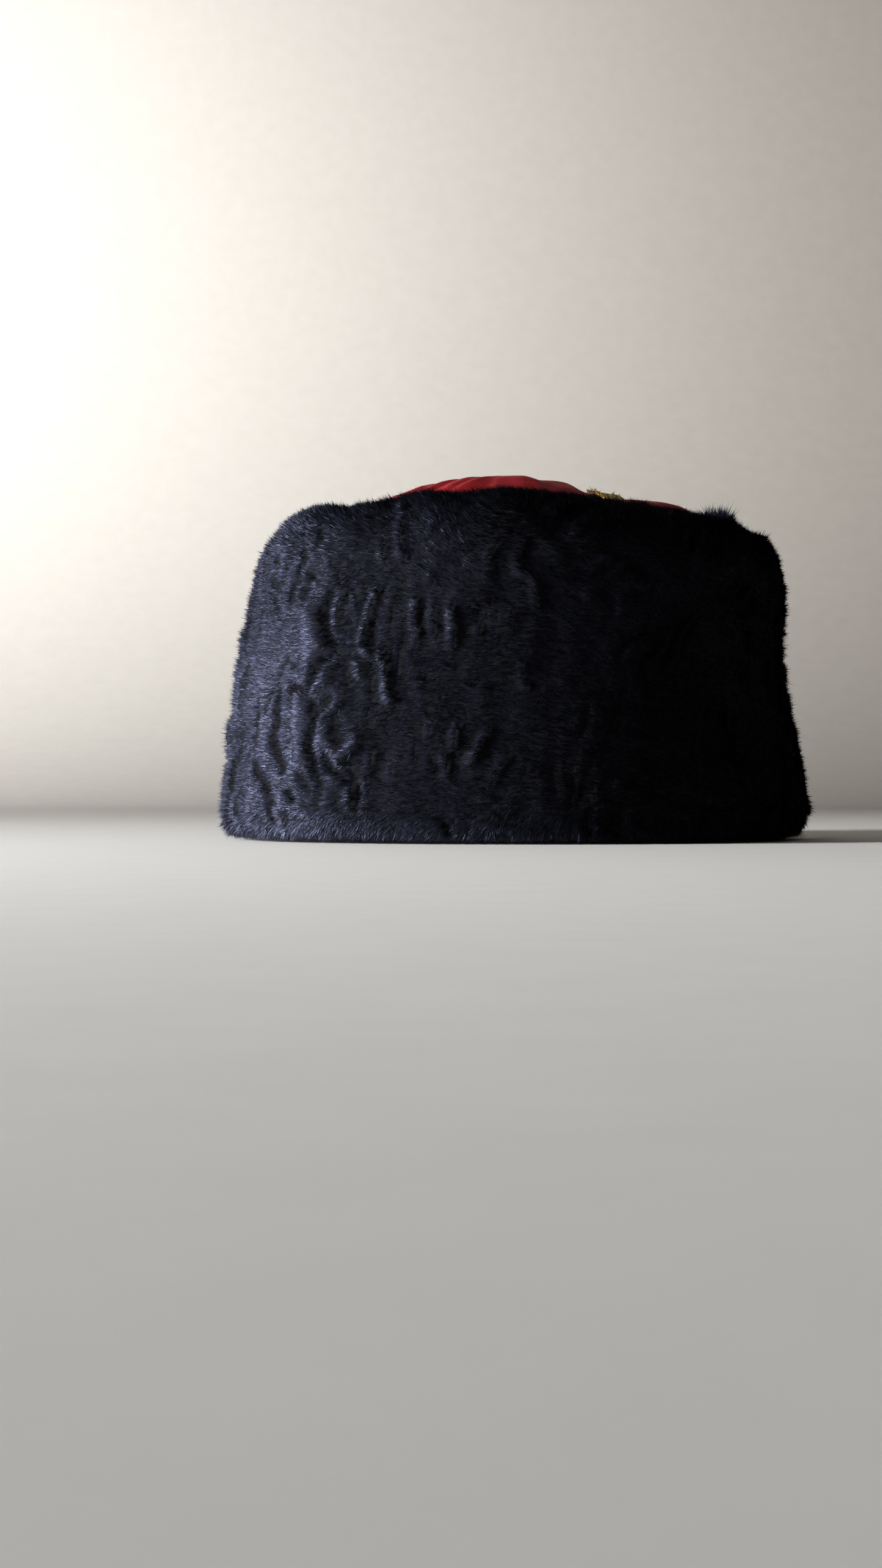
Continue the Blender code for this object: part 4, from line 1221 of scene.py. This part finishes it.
    # floor, a wide curve, and the wall, as one sweep; its far front edge turns up too
    radius, back, top = 0.9, 2.2, 3.4
    profile = [(-14.9, 2.2), (-14.88, 1.2), (-14.75, 0.6), (-14.5, 0.22), (-14.2, 0.05), (-14.0, 0.0),
               (-1.0, 0.0), (0.0, 0.0), (back - radius, 0.0)]
    for k in range(1, 25):
        a = k / 24 * math.pi / 2
        profile.append((back - radius + radius * math.sin(a), radius - radius * math.cos(a)))
    profile.append((back, top))
    verts, wide = [], (-14.0, 14.0)
    for x in wide:
        verts += [(x, y, z) for y, z in profile]
    n = len(profile)
    faces = np.array([(k, n + k, n + k + 1, k + 1) for k in range(n - 1)])
    sweep = make_mesh("paper_sweep", np.array(verts), faces, [mat])


def light(name, place, target, size, power, colour, spread=180.0):
    data = bpy.data.lights.new(name, "AREA")
    data.shape = "RECTANGLE"
    data.size, data.size_y = size
    data.energy = power
    data.color = colour
    data.spread = math.radians(spread)
    ob = bpy.data.objects.new(name, data)
    ob.location = place
    ob.rotation_euler = (Vector(target) - Vector(place)).to_track_quat("-Z", "Y").to_euler()
    ob.visible_camera = False
    SCENE.collection.objects.link(ob)
    return ob


build_stage()
light("window", (-1.47, -0.64, 0.20), (0.0, 0.0, 0.06), (0.36, 0.6), 48.0, (0.94, 0.965, 1.0), 120.0)
light("wall_wash", (-3.2, -0.5, 1.3), (-0.9, 2.2, 0.6), (1.2, 1.2), 48.0, (1.0, 0.985, 0.965), 55.0)
world = bpy.data.worlds.new("room")
world.use_nodes = True
# the room is brightest on the window's side
around = node(world.node_tree, "ShaderNodeTexCoord")
turned = node(world.node_tree, "ShaderNodeSeparateXYZ")
world.node_tree.links.new(around.outputs["Generated"], turned.inputs["Vector"])
glow = node(world.node_tree, "ShaderNodeMapRange")
for key, value in ROOM_GLOW:
    glow.inputs[key].default_value = value
world.node_tree.links.new(turned.outputs["X"], glow.inputs["Value"])
background = world.node_tree.nodes["Background"]
background.inputs["Color"].default_value = ROOM_COLOUR
world.node_tree.links.new(glow.outputs["Result"], background.inputs["Strength"])
SCENE.world = world
SCENE.view_settings.view_transform = "Standard"
SCENE.view_settings.look = "None"

# Level camera square to the wearer's left side, just above the floor. The hat's
# middle lies right of the picture's, as in the reference.
SCALE_PX_PER_MM, DISTANCE = 4.1, 1.0
camera_data = bpy.data.cameras.new("camera")
camera_data.sensor_width = 36.0
camera_data.lens = SCALE_PX_PER_MM * 1000.0 * DISTANCE / 2568.0 * 36.0
camera_data.clip_start, camera_data.clip_end = 0.01, 50.0
camera = bpy.data.objects.new("camera", camera_data)
camera.location = (-0.029, -DISTANCE, 0.022)
camera.rotation_euler = (math.radians(90.0), 0.0, 0.0)
SCENE.collection.objects.link(camera)
SCENE.camera = camera
